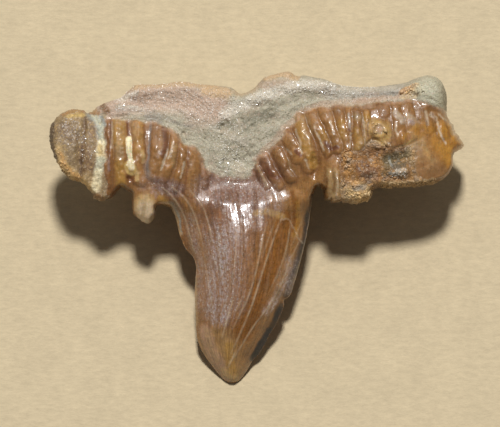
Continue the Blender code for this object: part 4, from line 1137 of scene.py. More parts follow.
# %% Broken ends
BREAK_STAINS = (
    # the left end
    (LOAM, 0.85, 0.75, (-4.10, 1.05), (-3.70, 0.25)),
    (BARK, 0.5, 0.20, (-4.21, 1.24), (-4.02, 1.05)),
    (UMBER, 0.45, 0.20, (-3.73, 0.72), (-3.64, 0.30)),
    (UMBER, 0.35, 0.14, (-3.59, 1.48), (-3.54, 1.10)),
    (BUFF, 0.85, 0.15, (-4.38, 0.72), (-4.24, 0.36), (-3.95, 0.10), (-3.66, -0.14)),  # ochre lower left
    (GINGER, 0.6, 0.07, (-4.30, 0.62), (-4.14, 0.30), (-3.84, 0.06)),
    (GOLD, 0.8, 0.10, (-4.11, 1.56), (-3.78, 1.60)),  # yellow top
    (SLATE_AND_SHADE, 0.85, 0.072, (-4.52, 1.34), (-4.55, 0.91), (-4.43, 0.48)),  # dark glassy rim
    (BARK, 0.70, 0.045, (-3.72, 1.50), (-3.75, 0.90), (-3.82, 0.50), (-3.80, 0.10)),  # cleft
    (HORN, 0.6, 0.14, (-3.62, 0.10), (-3.50, -0.15)),
    (SYRUP, 0.7, 0.10, (-3.48, -0.36), (-3.30, -0.45)),
    (STEEL_AND_SHEEN, 0.9, 0.16, (-3.60, 1.62), (-3.40, 1.48), (-3.31, 1.25), (-3.28, 0.92)),  # pale mineral strip
    (PATINA, 0.65, 0.09, (-3.50, 1.55), (-3.34, 1.30), (-3.30, 1.00)),
    (CREAM, 0.9, 0.12, (-3.31, 0.88), (-3.35, 0.56)),
    (GOLD, 0.7, 0.07, (-3.36, 0.80), (-3.33, 0.60)),
    (PATINA, 0.85, 0.13, (-3.34, 0.48), (-3.38, 0.24)),
    (CREAM, 0.8, 0.12, (-3.40, 0.18), (-3.46, -0.20)),
    # the right end
    (WALNUT, 0.88, 0.60, (2.70, 0.35), (4.10, 0.35)),
    (GINGER, 0.9, 0.14, (2.56, 0.67), (2.61, 0.33)),
    (CHALK_AND_HIGHLIGHT, 0.45, 0.072, (2.63, 0.48), (2.56, 0.29)),
    (MAHOGANY_SHADE, 0.9, 0.14, (1.77, 0.38), (1.91, 0.10)),  # painted shade in the gap beside the stub
    (RUSSET, 0.8, 0.24, (2.20, 0.48), (2.20, 0.19)),
    (HORN, 0.85, 0.24, (2.25, -0.05), (2.27, -0.43)),
    (BUFF, 0.85, 0.29, (2.78, -0.29), (2.97, -0.38)),
    (SEAM, 0.7, 0.086, (2.73, -0.19), (2.97, -0.19)),
    (CHESTNUT, 0.85, 0.31, (2.85, 0.36), (3.30, 0.29)),
    (UMBER, 0.80, 0.22, (2.92, 0.30), (3.16, 0.20)),
    (GINGER, 0.6, 0.16, (2.60, 0.20), (2.72, -0.05)),
    (SAND, 0.7, 0.048, (3.16, 0.00), (3.30, -0.10), (3.44, 0.00)),
    # the hollow's darkness is painted shade, with its own olive tone
    (HOLLOW_SHADE, 0.90, 0.22, (3.55, 0.47), (3.83, 0.50), (4.05, 0.57)),
    (OLIVE, 0.35, 0.10, (3.75, 0.62), (4.02, 0.55)),
    (STEEL_AND_SHEEN, 0.5, 0.04, (3.59, 0.53), (3.64, 0.33)),
    (HOLLOW_SHADE, 0.55, 0.15, (3.50, 0.20), (3.95, 0.24)),
    (STEEL_AND_SHEEN, 0.6, 0.05, (3.58, 0.17), (3.78, 0.15), (3.97, 0.22)),
    (SAND, 0.5, 0.11, (3.55, -0.02), (4.05, 0.02)),
    (CHALK_AND_HIGHLIGHT, 0.6, 0.05, (3.76, 0.22), (3.90, 0.26)),
    (OLIVE, 0.6, 0.11, (4.07, 0.72), (4.16, 0.38)),
    (HORN, 0.6, 0.16, (4.22, 0.75), (4.24, 0.10)),
    (HORN, 0.95, 0.11, (3.47, -0.12), (3.95, -0.12), (4.43, -0.07), (4.74, 0.02)),
)

# %% Root
ROOT_STAINS = (
    (ROSE, 0.95, 0.43, (-3.16, 1.82), (-2.39, 1.96), (-1.44, 1.96), (-0.62, 1.77)),  # pink concave facet
    (ROSE, 0.6, 0.29, (-1.05, 1.48), (-0.43, 1.63)),
    (PEACH, 0.85, 0.10, (-2.58, 2.25), (-1.91, 2.30), (-1.20, 2.34), (-0.62, 2.25)),  # thin warm edge
    (PEACH, 0.9, 0.17, (-0.81, 2.15), (-0.33, 2.11)),
    (PEACH, 0.5, 0.14, (-0.05, 2.11), (0.33, 2.20)),
    (RUSTY, 0.6, 0.14, (0.53, 2.30), (1.20, 2.30)),
    (PEACH, 0.9, 0.12, (0.62, 2.49), (1.00, 2.56), (1.34, 2.49)),  # crest of the peak
    # the sparkling ridge, its chalky line partly a painted highlight
    (CHALK_AND_HIGHLIGHT, 0.8, 0.17, (-0.38, 1.58), (0.05, 1.79), (0.72, 2.08), (1.44, 2.27), (2.20, 2.25)),
    (MOSS, 0.85, 0.14, (-0.43, 1.34), (-0.14, 1.29)),
    (MOSS, 0.85, 0.17, (0.14, 1.34), (0.48, 1.48), (0.81, 1.63)),
    (STONE, 0.7, 0.29, (-0.43, 0.81), (0.00, 0.48)),
    (MOSS, 0.5, 0.14, (-0.67, 0.53), (-0.33, 0.29)),
    (CHALK_AND_HIGHLIGHT, 0.5, 0.10, (-0.19, 1.05), (0.14, 0.91)),
    # the warm lip beside the folds
    (RUSTY, 0.55, 0.10, (0.38, 0.48), (0.81, 0.93), (1.20, 1.36), (1.72, 1.75), (2.54, 1.87), (3.30, 1.91)),
    (ASH, 0.9, 0.22, (2.15, 2.11), (2.92, 2.11), (3.83, 2.15)),  # grey band
    # a painted highlight along the band's crest
    (CHALK_AND_HIGHLIGHT, 0.6, 0.043, (2.44, 2.20), (3.11, 2.20), (3.73, 2.25)),
    (SEAM, 0.6, 0.062, (2.92, 2.08), (3.44, 2.08), (3.88, 2.11)),
    (RUSTY, 0.6, 0.062, (2.73, 1.91), (3.35, 1.96), (3.83, 2.01)),
    (GINGER, 0.75, 0.081, (3.88, 2.11), (4.07, 2.20), (4.26, 2.27)),
    (BUFF, 0.7, 0.072, (3.90, 2.01), (4.04, 2.06)),
    (BUFF, 0.5, 0.13, (4.05, 2.02), (4.32, 2.16)),
    (PATINA, 0.95, 0.41, (4.59, 2.25), (4.74, 1.91)),  # rounded knob
    (MOSS, 0.7, 0.12, (4.93, 2.20), (4.98, 1.82)),
    (SEAM, 0.5, 0.048, (-2.97, 1.70), (-2.15, 1.65), (-1.63, 1.41), (-1.15, 1.29)),  # crease
    (SEAM, 0.7, 0.12, (-2.20, 1.53), (-1.96, 1.41)),
    # painted highlight streaks on the pink facet
    (CHALK_AND_HIGHLIGHT, 0.7, 0.043, (-2.92, 1.77), (-2.34, 1.72)),
    (CHALK_AND_HIGHLIGHT, 0.6, 0.072, (-2.85, 1.94), (-2.68, 2.03), (-2.49, 2.11)),
    (SYRUP, 0.95, 0.10, (-3.30, 1.77), (-3.21, 1.70)),  # brown corner
    (CHALK_AND_HIGHLIGHT, 0.6, 0.029, (-0.74, 1.29), (-0.53, 1.17)),
)

# %% Chips and the ring, painted last and with a sharp brush
CHIPS = (
    (CREAM, 1.0, 0.070, (-2.67, 0.98), (-2.66, 0.70)),  # cream chip
    (CREAM, 1.0, 0.055, (-2.66, 0.70), (-2.62, 0.46)),
    (GOLD, 0.85, 0.125, (-2.65, 0.34), (-2.60, 0.24)),
    (CREAM, 0.9, 0.075, (-2.62, 0.44), (-2.60, 0.30)),
    (BUFF, 0.8, 0.05, (-2.48, 0.17), (-2.47, 0.02)),
)
RING_DOT = (0.075, 0.03)  # radius of the dot in the ring, and how soft its edge is
RING_GROOVE = (0.10, 0.035)  # radius and reach of the dark line round it

# %% [markdown]
# ## Painting by code
#
# `brushed` says how strongly a stroke covers each point. Colours are mixed in order for each kind of
# surface and then the kinds are joined by the same shares that shaped the relief. Grooves between the
# folds are painted a deep red-brown, which is painted shade with some dirt. Neighbouring pleats get
# slightly different tones, and a pale line along the keen edges is a painted highlight.

# %% Paint the stains
BRUSH_SHAKES = ((0.030, 0.30), (0.016, 0.09))  # how far the waves push, and their size
BRUSH_SEEDS = (61.0, 67.0)
CHIP_SHAKE = 0.2  # share of that for the sharp brush
GROOVE_SHADE_AND_DIRT = 0.50
GROOVE_SHADE_AND_DIRT_COLOUR = (0.15, 0.055, 0.022)
TONE_SPREAD = 0.10
TONE_TURN = 2.7  # from one pleat to the next, as an angle, so that neighbours differ
EDGE_HIGHLIGHT_WIDTH = 0.030  # width of the painted highlight along the keen edges
EDGE_HIGHLIGHT = 0.5
EDGE_HIGHLIGHT_LEFT = 0.15  # share of it on the left edge and below the nick
NICK = (-3.1, 0.4)  # v of the nick, and over how far the line starts above it
RIB_PALE = 0.22
BORDER_BAND = (0.03, 0.10)  # middle and reach of the warm band where the enamel begins
BORDER_WARM = 0.7
BORDER_SEED = 83.0


def shaken(points):
    """The points as a shaky brush sees them."""
    shakes = [pushed(points, push, size, BRUSH_SEEDS, 2) - points for push, size in BRUSH_SHAKES]
    return points + sum(shakes)


def brushed(points, half, path, soft=0.75):
    """1 under the middle of the stroke, fading to 0 at its edge over a soft share of its half width."""
    line = curve_through(path, BORDER_STEP) if len(path) > 2 else np.array(path)
    distance = line_distance(points, line)[0]
    return 1.0 - ramp((distance / half - 1.2 + soft) / soft)


def blended(colour, stain, cover):
    """A stain laid over the colours, as strongly as its cover says."""
    return colour + (np.array(stain) - colour) * np.asarray(cover)[:, None]


def painted(points, colour, strokes, soft=0.75):
    """The colour with every stroke laid over it in order."""
    colour = np.tile(colour, (len(points), 1)) if len(colour) == 3 else colour
    for stain, strength, half, *path in strokes:
        colour = blended(colour, stain, strength * brushed(points, half, path, soft))
    return colour


shaky = shaken(face_points)
fold_height, fold_number, fold_near = folded(face_points)
presence = fold_presence(face_points, front_crown) * fold_near
# groove: painted shade, with some dirt, in the creases between the pleats
groove = presence * (1.0 - np.clip(fold_height, 0.0, 1.0)) ** 1.5
tone = 1.0 + TONE_SPREAD * np.sin(TONE_TURN * fold_number) * presence
enamel_colour = painted(shaky, CHESTNUT, ENAMEL_STAINS) * tone[:, None]
enamel_colour = blended(enamel_colour, GROOVE_SHADE_AND_DIRT_COLOUR, GROOVE_SHADE_AND_DIRT * groove)
face_gap = np.concatenate((np.zeros(len(edge)), front_gap))
face_u, face_v = face_points.T
# keen: a painted highlight, a pale line along the keen edges, mostly on the right
keen = bell(face_gap, EDGE_HIGHLIGHT_WIDTH) * ramp((KEEN_TOP - face_v) / 0.3)
right_edge = ramp(face_u / 0.5) * ramp((face_v - NICK[0]) / NICK[1])
keen *= EDGE_HIGHLIGHT_LEFT + (1.0 - EDGE_HIGHLIGHT_LEFT) * right_edge
enamel_colour = blended(enamel_colour, PALE_AND_HIGHLIGHT, EDGE_HIGHLIGHT * keen)
enamel_colour = blended(enamel_colour, LILAC, RIB_PALE * ribs(face_points))
border = bell(front_crown - BORDER_BAND[0], BORDER_BAND[1])
border *= ramp(0.6 + 0.8 * lumps(face_points, 0.25, BORDER_SEED)) * ramp(np.abs(face_u) / 0.6)
enamel_colour = blended(enamel_colour, RUSTY, BORDER_WARM * border)
steadier = CHIP_SHAKE * shaky + (1.0 - CHIP_SHAKE) * face_points
enamel_colour = painted(steadier, enamel_colour, CHIPS, 0.35)
from_ring = np.hypot(*(face_points - RING_CENTRE).T)
enamel_colour = blended(enamel_colour, BARK, 0.55 * bell(from_ring - RING_GROOVE[0], RING_GROOVE[1]))
dot = 1.0 - ramp((from_ring - RING_DOT[0]) / RING_DOT[1] + 0.5)
enamel_colour = blended(enamel_colour, BLUSH, 0.8 * dot)
root_colour = painted(shaky, STONE, ROOT_STAINS)
break_colour = painted(shaky, BONE, BREAK_STAINS)
front_colour = blended(root_colour, enamel_colour, front_share)
front_colour = blended(front_colour, break_colour, front_bare)
print(len(BREAK_STAINS), "strokes on the broken ends,", len(ROOT_STAINS), "on the root")

# %% [markdown]
# ## The back's colours
#
# Nobody sees the back in the portrait, but the tooth will be turned over. It gets the same palette in
# broad zones: grey-green root with pink and ochre clouds, brown enamel on the cusp, and a dark band
# where they meet. Strokes in u and v would smear down its steep flanks, so the clouds come from noise in
# space, and the face's own stains only reach a little way round the edge.

# %% Paint the back
CLOUD_SIZE = 0.75
EDGE_PAINT = 0.12  # how far the face's own stains reach round the edge
CLOUD_SEEDS = (71.0, 73.0, 79.0)
NECK_BAND = 0.16  # reach of the dark band
BACK_TIP = (-3.4, 0.8)  # v where the tip's paler horn starts, and over how far

back_here = placed(back_xyz)
pink, ochre, dark = (ramp(0.5 + 1.1 * space_noise(back_here, CLOUD_SIZE, seed)) for seed in CLOUD_SEEDS)
back_root = np.tile(STONE, (len(back), 1))
for stain, cover in ((ROSE, 0.55 * pink), (GINGER, 0.35 * ochre * pink), (MOSS, 0.5 * dark)):
    back_root = blended(back_root, stain, cover)
turned = (1.0 - ramp(back_gap / EDGE_PAINT)) * ramp(0.6 + space_noise(back_here, 0.3, CLOUD_SEEDS[0]))
back_root = blended(back_root, painted(shaken(back), STONE, ROOT_STAINS), turned)
back_enamel = np.tile(WALNUT, (len(back), 1))
tip = ramp((BACK_TIP[0] - back[:, 1]) / BACK_TIP[1])
for stain, cover in ((SIENNA, 0.6 * pink), (LILAC, 0.35 * dark), (SAND, 0.7 * tip)):
    back_enamel = blended(back_enamel, stain, cover)
back_colour = blended(back_root, back_enamel, back_share)
band = bell(back_crown, NECK_BAND) * ramp((3.0 - np.abs(back[:, 0])) / 1.0)
back_colour = blended(back_colour, UMBER, 0.7 * band)
back_colour = blended(back_colour, BONE, back_bare)

# %% [markdown]
# ## Dull patches, crumbs and sparkle
#
# Five masks are brushed on in the same way. Dull patches take the polish off the enamel, and a violet-grey
# bloom lies over the cusp. The others say where rust crumbs, mineral nodules and bright crystal grains
# will grow later. Masks could be painted by hand on the mesh, but a stroke that is written down lands in
# the same place after every change of the shape.

# %% Where the polish is gone
FOLD_DULL = 0.35
FOLD_TOP_DULL = 0.45
FOLD_TOP = (0.14, 0.34)  # how far below the crown line the pleats are dullest, and how far that reaches

DULL = (
    (1.0, 0.30, (3.22, 1.26), (3.44, 1.14)),
    (0.9, 0.14, (3.18, 0.88), (3.42, 0.82)),
    (0.7, 0.45, (4.40, 0.85), (4.95, 0.75)),
    (0.6, 0.30, (4.20, 0.25), (4.90, 0.25)),
    (0.75, 0.17, (-0.65, 0.02), (-0.20, -0.10), (0.25, -0.12), (0.60, 0.00)),
    (0.7, 0.10, (-2.62, 0.45), (-2.62, 0.25)),
    (0.8, 0.41, (-0.33, -1.44), (-0.53, -2.15), (-0.53, -3.21)),
    (0.90, 0.42, (-3.00, 1.15), (-2.30, 1.15), (-1.65, 0.95)),
    (0.6, 0.20, (1.46, 1.25), (1.62, 0.70)),
    (1.0, 0.17, (1.66, -0.60), (1.61, -1.34), (1.48, -1.77), (1.31, -2.30), (1.17, -2.78)),
    (1.0, 0.17, (1.00, -3.06), (0.83, -3.48), (0.62, -3.88), (0.38, -4.26)),
    (0.8, 0.18, (2.22, 0.45), (2.35, 0.25)),
    (0.9, 0.16, (3.40, 1.80), (3.46, 1.58)),
    (0.5, 0.45, (4.95, 0.45), (4.60, 0.20)),
    (0.8, 0.10, (-0.95, -0.15), (-0.75, -0.30)),
    (0.5, 0.53, (-0.43, -4.11), (-0.29, -4.69)),
    (0.6, 0.17, (-0.79, -3.71), (-0.62, -4.26)),
    (0.5, 0.24, (1.44, 1.82), (2.63, 1.67), (3.35, 1.72)),
    (0.7, 0.10, (-2.63, 0.91), (-2.63, 0.24)),
    (0.4, 0.33, (-2.32, -0.38), (-2.22, -0.81)),
    (1.0, 0.09, (-2.15, 1.41), (-2.18, 0.96), (-2.20, 0.05)),
    (1.0, 0.14, (-0.60, 0.14), (-0.30, 0.06), (0.17, 0.02), (0.32, 0.15)),
)

# %% The violet bloom
BLOOM = (
    (1.0, 0.36, (-0.30, -1.30), (-0.48, -1.96), (-0.55, -2.63), (-0.50, -3.20)),
    (0.6, 0.70, (-0.40, -1.50), (-0.45, -2.80)),
    (0.9, 0.12, (1.05, -2.44), (0.86, -2.82), (0.62, -3.16)),
    (0.5, 0.42, (-0.85, -0.25), (0.20, -0.30), (0.75, -0.45)),
    (0.6, 0.30, (-0.15, -0.75), (0.35, -0.95)),
    (0.4, 0.26, (-1.15, -1.0), (-0.95, -1.6)),
    (0.5, 0.22, (1.20, -2.0), (1.05, -2.6)),
    (0.5, 0.25, (-2.20, -0.10), (-1.60, -0.20)),
)

# %% Where crumbs, nodules and crystals grow
CRUMBS = (
    (0.8, 0.12, (2.56, 0.67), (2.61, 0.33)),
    (0.7, 0.22, (2.73, -0.29), (2.97, -0.38)),
    (0.4, 0.10, (2.46, 0.10), (2.51, -0.14)),
    (0.7, 0.06, (3.16, -0.17), (3.59, -0.12), (4.11, -0.10), (4.74, 0.00)),
    (0.35, 0.10, (3.54, 0.12), (3.92, 0.17)),
    (0.5, 0.06, (3.30, 0.79), (3.64, 0.86)),
    (0.7, 0.09, (3.88, 2.08), (4.07, 2.18), (4.26, 2.25)),
    (0.6, 0.10, (-4.35, 0.72), (-4.21, 0.29), (-3.88, 0.02)),
)
NODULES = (
    (0.30, 0.20, (3.24, 1.30), (3.44, 1.10)),
    (0.6, 0.09, (3.18, 0.86), (3.42, 0.82)),
    (0.8, 0.11, (2.54, 0.66), (2.58, 0.34)),
    (0.5, 0.22, (2.75, -0.28), (2.95, -0.36)),
    (0.8, 0.08, (3.90, 2.10), (4.10, 2.18)),
    (0.3, 0.12, (4.05, 2.02), (4.30, 2.16)),
)
SPARKLE = (
    (1.0, 0.17, (-0.38, 1.58), (0.05, 1.79), (0.72, 2.08), (1.44, 2.25), (2.20, 2.20)),
    (0.8, 0.14, (-2.92, 1.91), (-2.54, 2.06)),
    (0.7, 0.07, (-2.97, 1.72), (-2.34, 1.72)),
    (0.35, 0.48, (-2.15, 1.96), (-1.20, 1.91), (-0.60, 1.56)),
    (0.5, 0.43, (-0.36, 1.20), (-0.19, 0.48)),
    (0.6, 0.14, (-1.29, 1.63), (-0.62, 1.27)),
    (0.5, 0.17, (-0.33, -0.07), (0.24, -0.07)),
    (0.7, 0.14, (3.71, 0.17), (3.95, 0.19)),
    (0.4, 0.19, (2.39, 2.15), (3.11, 2.11)),
    (0.3, 0.29, (-4.07, 1.20), (-3.68, 0.72)),
)

# %% Store the masks on the mesh
STRAND_LEAST = 0.35  # how much of the fibres' contrast the heels show
KINDS_OF_SURFACE = ("enamel", "root", "broken")


def mask(strokes):
    """Strokes without a colour, over the front; the back stays at 0."""
    cover = np.zeros(len(face_points))
    for strength, half, *path in strokes:
        cover = np.maximum(cover, strength * brushed(shaky, half, path))
    return np.concatenate((cover, np.zeros(len(back))))


def store(name, values, kind="FLOAT", field="value"):
    """Writes one value for each vertex into a named attribute."""
    attribute = mesh.attributes.new(name, kind, "POINT")
    attribute.data.foreach_set(field, np.asarray(values, float).ravel().astype(np.float32))


flat = np.vstack((face_points, back))
colours = np.clip(np.vstack((front_colour, back_colour)), 0.0, 1.0)
tops = FOLD_TOP_DULL * bell(front_crown - FOLD_TOP[0], FOLD_TOP[1])
fold_dull = np.concatenate(((FOLD_DULL + tops) * presence, np.zeros(len(back))))
zone = np.where(bare_share > 0.5, 2.0, np.where(enamel_share > 0.5, 0.0, 1.0))

store("stain", np.hstack((colours, np.ones((len(colours), 1)))), "FLOAT_COLOR", "color")
store("flow", flow(flat), "FLOAT_VECTOR", "vector")
store("dull", np.maximum(mask(DULL), fold_dull))
store("crumble", np.where(flat[:, 0] < 0.0, CALM_LEFT, 1.0))
store("strand", STRAND_LEAST + (1.0 - STRAND_LEAST) * cusp_share(flat))
store("zone", zone)
for name, strokes in (("bloom", BLOOM), ("crumbs", CRUMBS), ("nodules", NODULES), ("sparkle", SPARKLE)):
    store(name, mask(strokes))
for kind, name in enumerate(KINDS_OF_SURFACE):
    print(name, int((zone == kind).sum()), "vertices")

# %% [markdown]
# ## Helpers for node trees
#
# Materials and Geometry Nodes are both trees of nodes. One helper adds a node, sets its options and
# fills its inputs with either a value or a link. Blender keeps hidden twins of many sockets, one for
# each data type, so the helper always takes the twin that is switched on.

# %% Node helpers
def socket(sockets, name):
    """The enabled socket of that name."""
    return next(s for s in sockets if s.name == name and s.enabled)


def fill(tree, made, inputs):
    """Fills a node's inputs, by name or number, with values or links."""
    for name, value in inputs.items():
        into = made.inputs[name] if isinstance(name, int) else socket(made.inputs, name)
        if isinstance(value, bpy.types.NodeSocket):
            tree.links.new(value, into)
        else:
            into.default_value = value


def node(tree, kind, inputs=None, **settings):
    """A new node with its settings made and its inputs filled or linked."""
    made = tree.nodes.new(kind)
    for name, value in settings.items():
        setattr(made, name, value)
    fill(tree, made, inputs or {})
    return made


def out(made, name=None):
    """An output by name, or the first one that is switched on."""
    return socket(made.outputs, name) if name else next(s for s in made.outputs if s.enabled)


def maths(tree, how, a, b=0.0):
    """One step of arithmetic on two values."""
    return out(node(tree, "ShaderNodeMath", {0: a, 1: b}, operation=how))


# %% [markdown]
# ## Materials
#
# All materials start alike. Object coordinates are in metres, so a Mapping node turns them into
# millimetres, and then a noise scale can be read as lumps per millimetre. The painted stain is the base
# colour, and each finish breaks it up in its own way.

# %% Material helpers
def new_material(name):
    """An empty node material with its shader and coordinates in millimetres."""
    material = bpy.data.materials.new(name)
    material.use_nodes = True
    tree = material.node_tree
    shader = tree.nodes["Principled BSDF"]
    where = out(node(tree, "ShaderNodeTexCoord"), "Object")
    return material, tree, shader, stretched(tree, where, (1 / MM, 1 / MM, 1 / MM))


def stretched(tree, where, scale, turn=0.0):
    """Coordinates that draw a pattern out along its axes, or turn it."""
    return out(node(tree, "ShaderNodeMapping", {
        "Vector": where, "Rotation": (0.0, 0.0, turn), "Scale": scale,
    }))


def attribute(tree, name, which="Fac"):
    """One of the mesh's named attributes."""
    return node(tree, "ShaderNodeAttribute", attribute_name=name).outputs[which]


def texture(tree, where, per_mm, detail=3.0, roughness=0.55):
    """Noise with so many lumps per millimetre."""
    return node(tree, "ShaderNodeTexNoise", {
        "Vector": where, "Scale": per_mm, "Detail": detail, "Roughness": roughness,
    }).outputs["Fac"]


def cells(tree, where, per_mm, feature="F1"):
    """Voronoi cells, so many per millimetre."""
    return node(tree, "ShaderNodeTexVoronoi", {"Vector": where, "Scale": per_mm}, feature=feature)


def mapped(tree, value, low_in, high_in, low_out, high_out):
    """A value moved from one range to another, and held inside it."""
    made = node(tree, "ShaderNodeMapRange", {
        "Value": value, "From Min": low_in, "From Max": high_in, "To Min": low_out, "To Max": high_out,
    })
    return out(made)


def mixed(tree, factor, a, b, how="MIX"):
    """Two colours mixed by a factor."""
    a, b = ((*end, 1.0) if isinstance(end, tuple) else end for end in (a, b))
    return out(node(tree, "ShaderNodeMix", {0: factor, 6: a, 7: b}, data_type="RGBA", blend_type=how))


def shaded(tree, colour, value, low_in, high_in, low_out, high_out):
    """A colour made darker or lighter by a value."""
    amount = mapped(tree, value, low_in, high_in, low_out, high_out)
    grey = node(tree, "ShaderNodeCombineColor", {"Red": amount, "Green": amount, "Blue": amount})
    return mixed(tree, 1.0, colour, out(grey), "MULTIPLY")


def bumped(tree, height, distance_mm):
    """A normal that takes its fine bump from a height texture."""
    return out(node(tree, "ShaderNodeBump", {
        "Height": height, "Distance": distance_mm * MM, "Strength": 1.0,
    }))


# %% [markdown]
# ### Enamel
#
# Enamel is the hardest and shiniest part. Over the stain come clouds, thin streaks that follow the
# fibres down to the tip, dark specks, a violet-grey bloom with pale flecks, and the pale lines of the
# striae. A clear coat gives the wet gloss, and a fine orange-peel bump breaks the highlights into grains.
# Where the surface is dull, the roughness rises and the coat goes. One shader with a little light
# scattered inside it was chosen over glass, because the enamel is clear only to about the depth of a hair.

# %% Enamel material
def make_enamel():
    material, tree, shader, where = new_material("amber_enamel")
    along = attribute(tree, "flow", "Vector")
    fibres = stretched(tree, along, (1.0, 0.10, 1.0))
    short = stretched(tree, along, (1.0, 0.80, 1.0))
    clouds = texture(tree, where, 2.2, 4.0)
    mottle = texture(tree, where, 9.0, 3.0, 0.65)
    streaks = texture(tree, fibres, 16.0, 3.0, 0.7)
    fine_streaks = texture(tree, fibres, 42.0, 2.0, 0.6)
    specks = cells(tree, where, 13.0).outputs["Distance"]
    bloom = attribute(tree, "bloom")
    dull = attribute(tree, "dull")

    colour = attribute(tree, "stain", "Color")
    colour = shaded(tree, colour, clouds, 0.3, 0.7, 0.86, 1.14)
    colour = shaded(tree, colour, mottle, 0.3, 0.7, 0.82, 1.18)
    fibrous = shaded(tree, colour, streaks, 0.3, 0.7, 0.60, 1.34)
    fibrous = shaded(tree, fibrous, fine_streaks, 0.3, 0.7, 0.80, 1.20)
    colour = mixed(tree, attribute(tree, "strand"), colour, fibrous)
    colour = shaded(tree, colour, specks, 0.05, 0.28, 0.72, 1.0)
    bloom_grain = mapped(tree, texture(tree, short, 15.0, 4.0, 0.75), 0.38, 0.60, 0.1, 1.0)
    drifts = mapped(tree, texture(tree, fibres, 7.0, 4.0, 0.7), 0.40, 0.58, 0.25, 1.0)
    bloom_cover = maths(tree, "MULTIPLY", bloom, maths(tree, "MULTIPLY", bloom_grain, drifts))
    colour = mixed(tree, bloom_cover, colour, (0.47, 0.39, 0.375))
    flecks = mapped(tree, cells(tree, where, 17.0).outputs["Distance"], 0.30, 0.12, 0.0, 1.0)
    flecks = maths(tree, "MULTIPLY", flecks, drifts)
    flecks = maths(tree, "MULTIPLY", flecks, mapped(tree, bloom, 0.0, 0.8, 0.08, 0.9))
    colour = mixed(tree, flecks, colour, (0.72, 0.64, 0.56))
    worn = mapped(tree, texture(tree, where, 5.0, 3.0, 0.7), 0.38, 0.56, 0.25, 0.60)
    colour = mixed(tree, maths(tree, "MULTIPLY", attribute(tree, "stria"), worn), colour, PALE_AND_HIGHLIGHT)

    rough = mapped(tree, mottle, 0.3, 0.7, 0.20, 0.38)
    rough = maths(tree, "ADD", rough, maths(tree, "MULTIPLY", dull, 0.30))
    peel = texture(tree, where, 26.0, 2.0, 0.6)
    height = maths(tree, "ADD", maths(tree, "MULTIPLY", peel, 0.7), maths(tree, "MULTIPLY", streaks, 1.2))
    fill(tree, shader, {
        "Base Color": colour, "Roughness": rough, "Normal": bumped(tree, height, 0.005),
        "Coat Weight": mapped(tree, dull, 0.0, 0.8, 0.55, 0.10), "Coat Roughness": 0.10,
        "Subsurface Weight": 0.25, "Subsurface Radius": (1.0, 0.45, 0.15), "Subsurface Scale": 0.20 * MM,
    })
    return material


enamel_material = make_enamel()

# %% [markdown]
# ### Root
#
# The root is porous bone turned to stone, dull and full of tiny pores, with mineral crystals that
# sparkle on its ridges. Green, chalky and rusty clouds lie over the stain, and dark pores are cut in.
# Near-white flecks, strongest where crystals sparkle, are pale specks and painted glints.

# %% Root material
def make_root():
    material, tree, shader, where = new_material("porous_root")
    clouds = texture(tree, where, 1.8, 4.0)
    mottle = texture(tree, where, 8.0, 4.0, 0.7)
    grain = texture(tree, where, 30.0, 2.0, 0.7)
    pores = cells(tree, where, 11.0).outputs["Distance"]
    flecks = cells(tree, where, 22.0)

    colour = attribute(tree, "stain", "Color")
    colour = mixed(tree, mapped(tree, mottle, 0.52, 0.70, 0.0, 0.45), colour, CHALK_AND_HIGHLIGHT)
    colour = mixed(tree, mapped(tree, mottle, 0.46, 0.32, 0.0, 0.55), colour, MOSS)
    colour = mixed(tree, mapped(tree, clouds, 0.54, 0.70, 0.0, 0.30), colour, RUSTY)
    blush = texture(tree, where, 14.0, 3.0, 0.7)
    colour = mixed(tree, mapped(tree, blush, 0.52, 0.64, 0.0, 0.45), colour, ROSE)
    colour = mixed(tree, mapped(tree, blush, 0.44, 0.34, 0.0, 0.35), colour, HORN)
    colour = shaded(tree, colour, grain, 0.3, 0.7, 0.72, 1.22)
    colour = shaded(tree, colour, pores, 0.04, 0.20, 0.55, 1.0)
    # near-white flecks: pale specks, and painted glints of crystal faces
    pale_flecks_and_glints = mapped(tree, flecks.outputs["Distance"], 0.30, 0.14, 0.0, 1.0)
    pale_flecks_and_glints = maths(tree, "MULTIPLY", pale_flecks_and_glints, mapped(tree, attribute(tree, "sparkle"), 0.0, 1.0, 0.42, 1.0))
    colour = mixed(tree, pale_flecks_and_glints, colour, (0.90, 0.87, 0.80))

    rough = mapped(tree, grain, 0.3, 0.7, 0.55, 0.78)
    rough = maths(tree, "SUBTRACT", rough, maths(tree, "MULTIPLY", pale_flecks_and_glints, 0.45))
    height = maths(tree, "ADD", mottle, maths(tree, "MULTIPLY", grain, 0.7))
    height = maths(tree, "ADD", height, mapped(tree, pores, 0.0, 0.22, -0.6, 0.0))
    fill(tree, shader, {
        "Base Color": colour, "Roughness": rough, "Normal": bumped(tree, height, 0.020),
    })
    return material


root_material = make_root()

# %% [markdown]
# ### Broken dentine
#
# Where the enamel has come off, the inside shows: a crumbly mass of brown, grey and ochre grains on the
# right, and a calmer, streaky fracture on the left. Plain noise looks too soft for rubble, so each
# Voronoi cell gets its own brightness and a dark joint around it, and the bump follows the cells. The
# attribute `crumble` mixes the two.

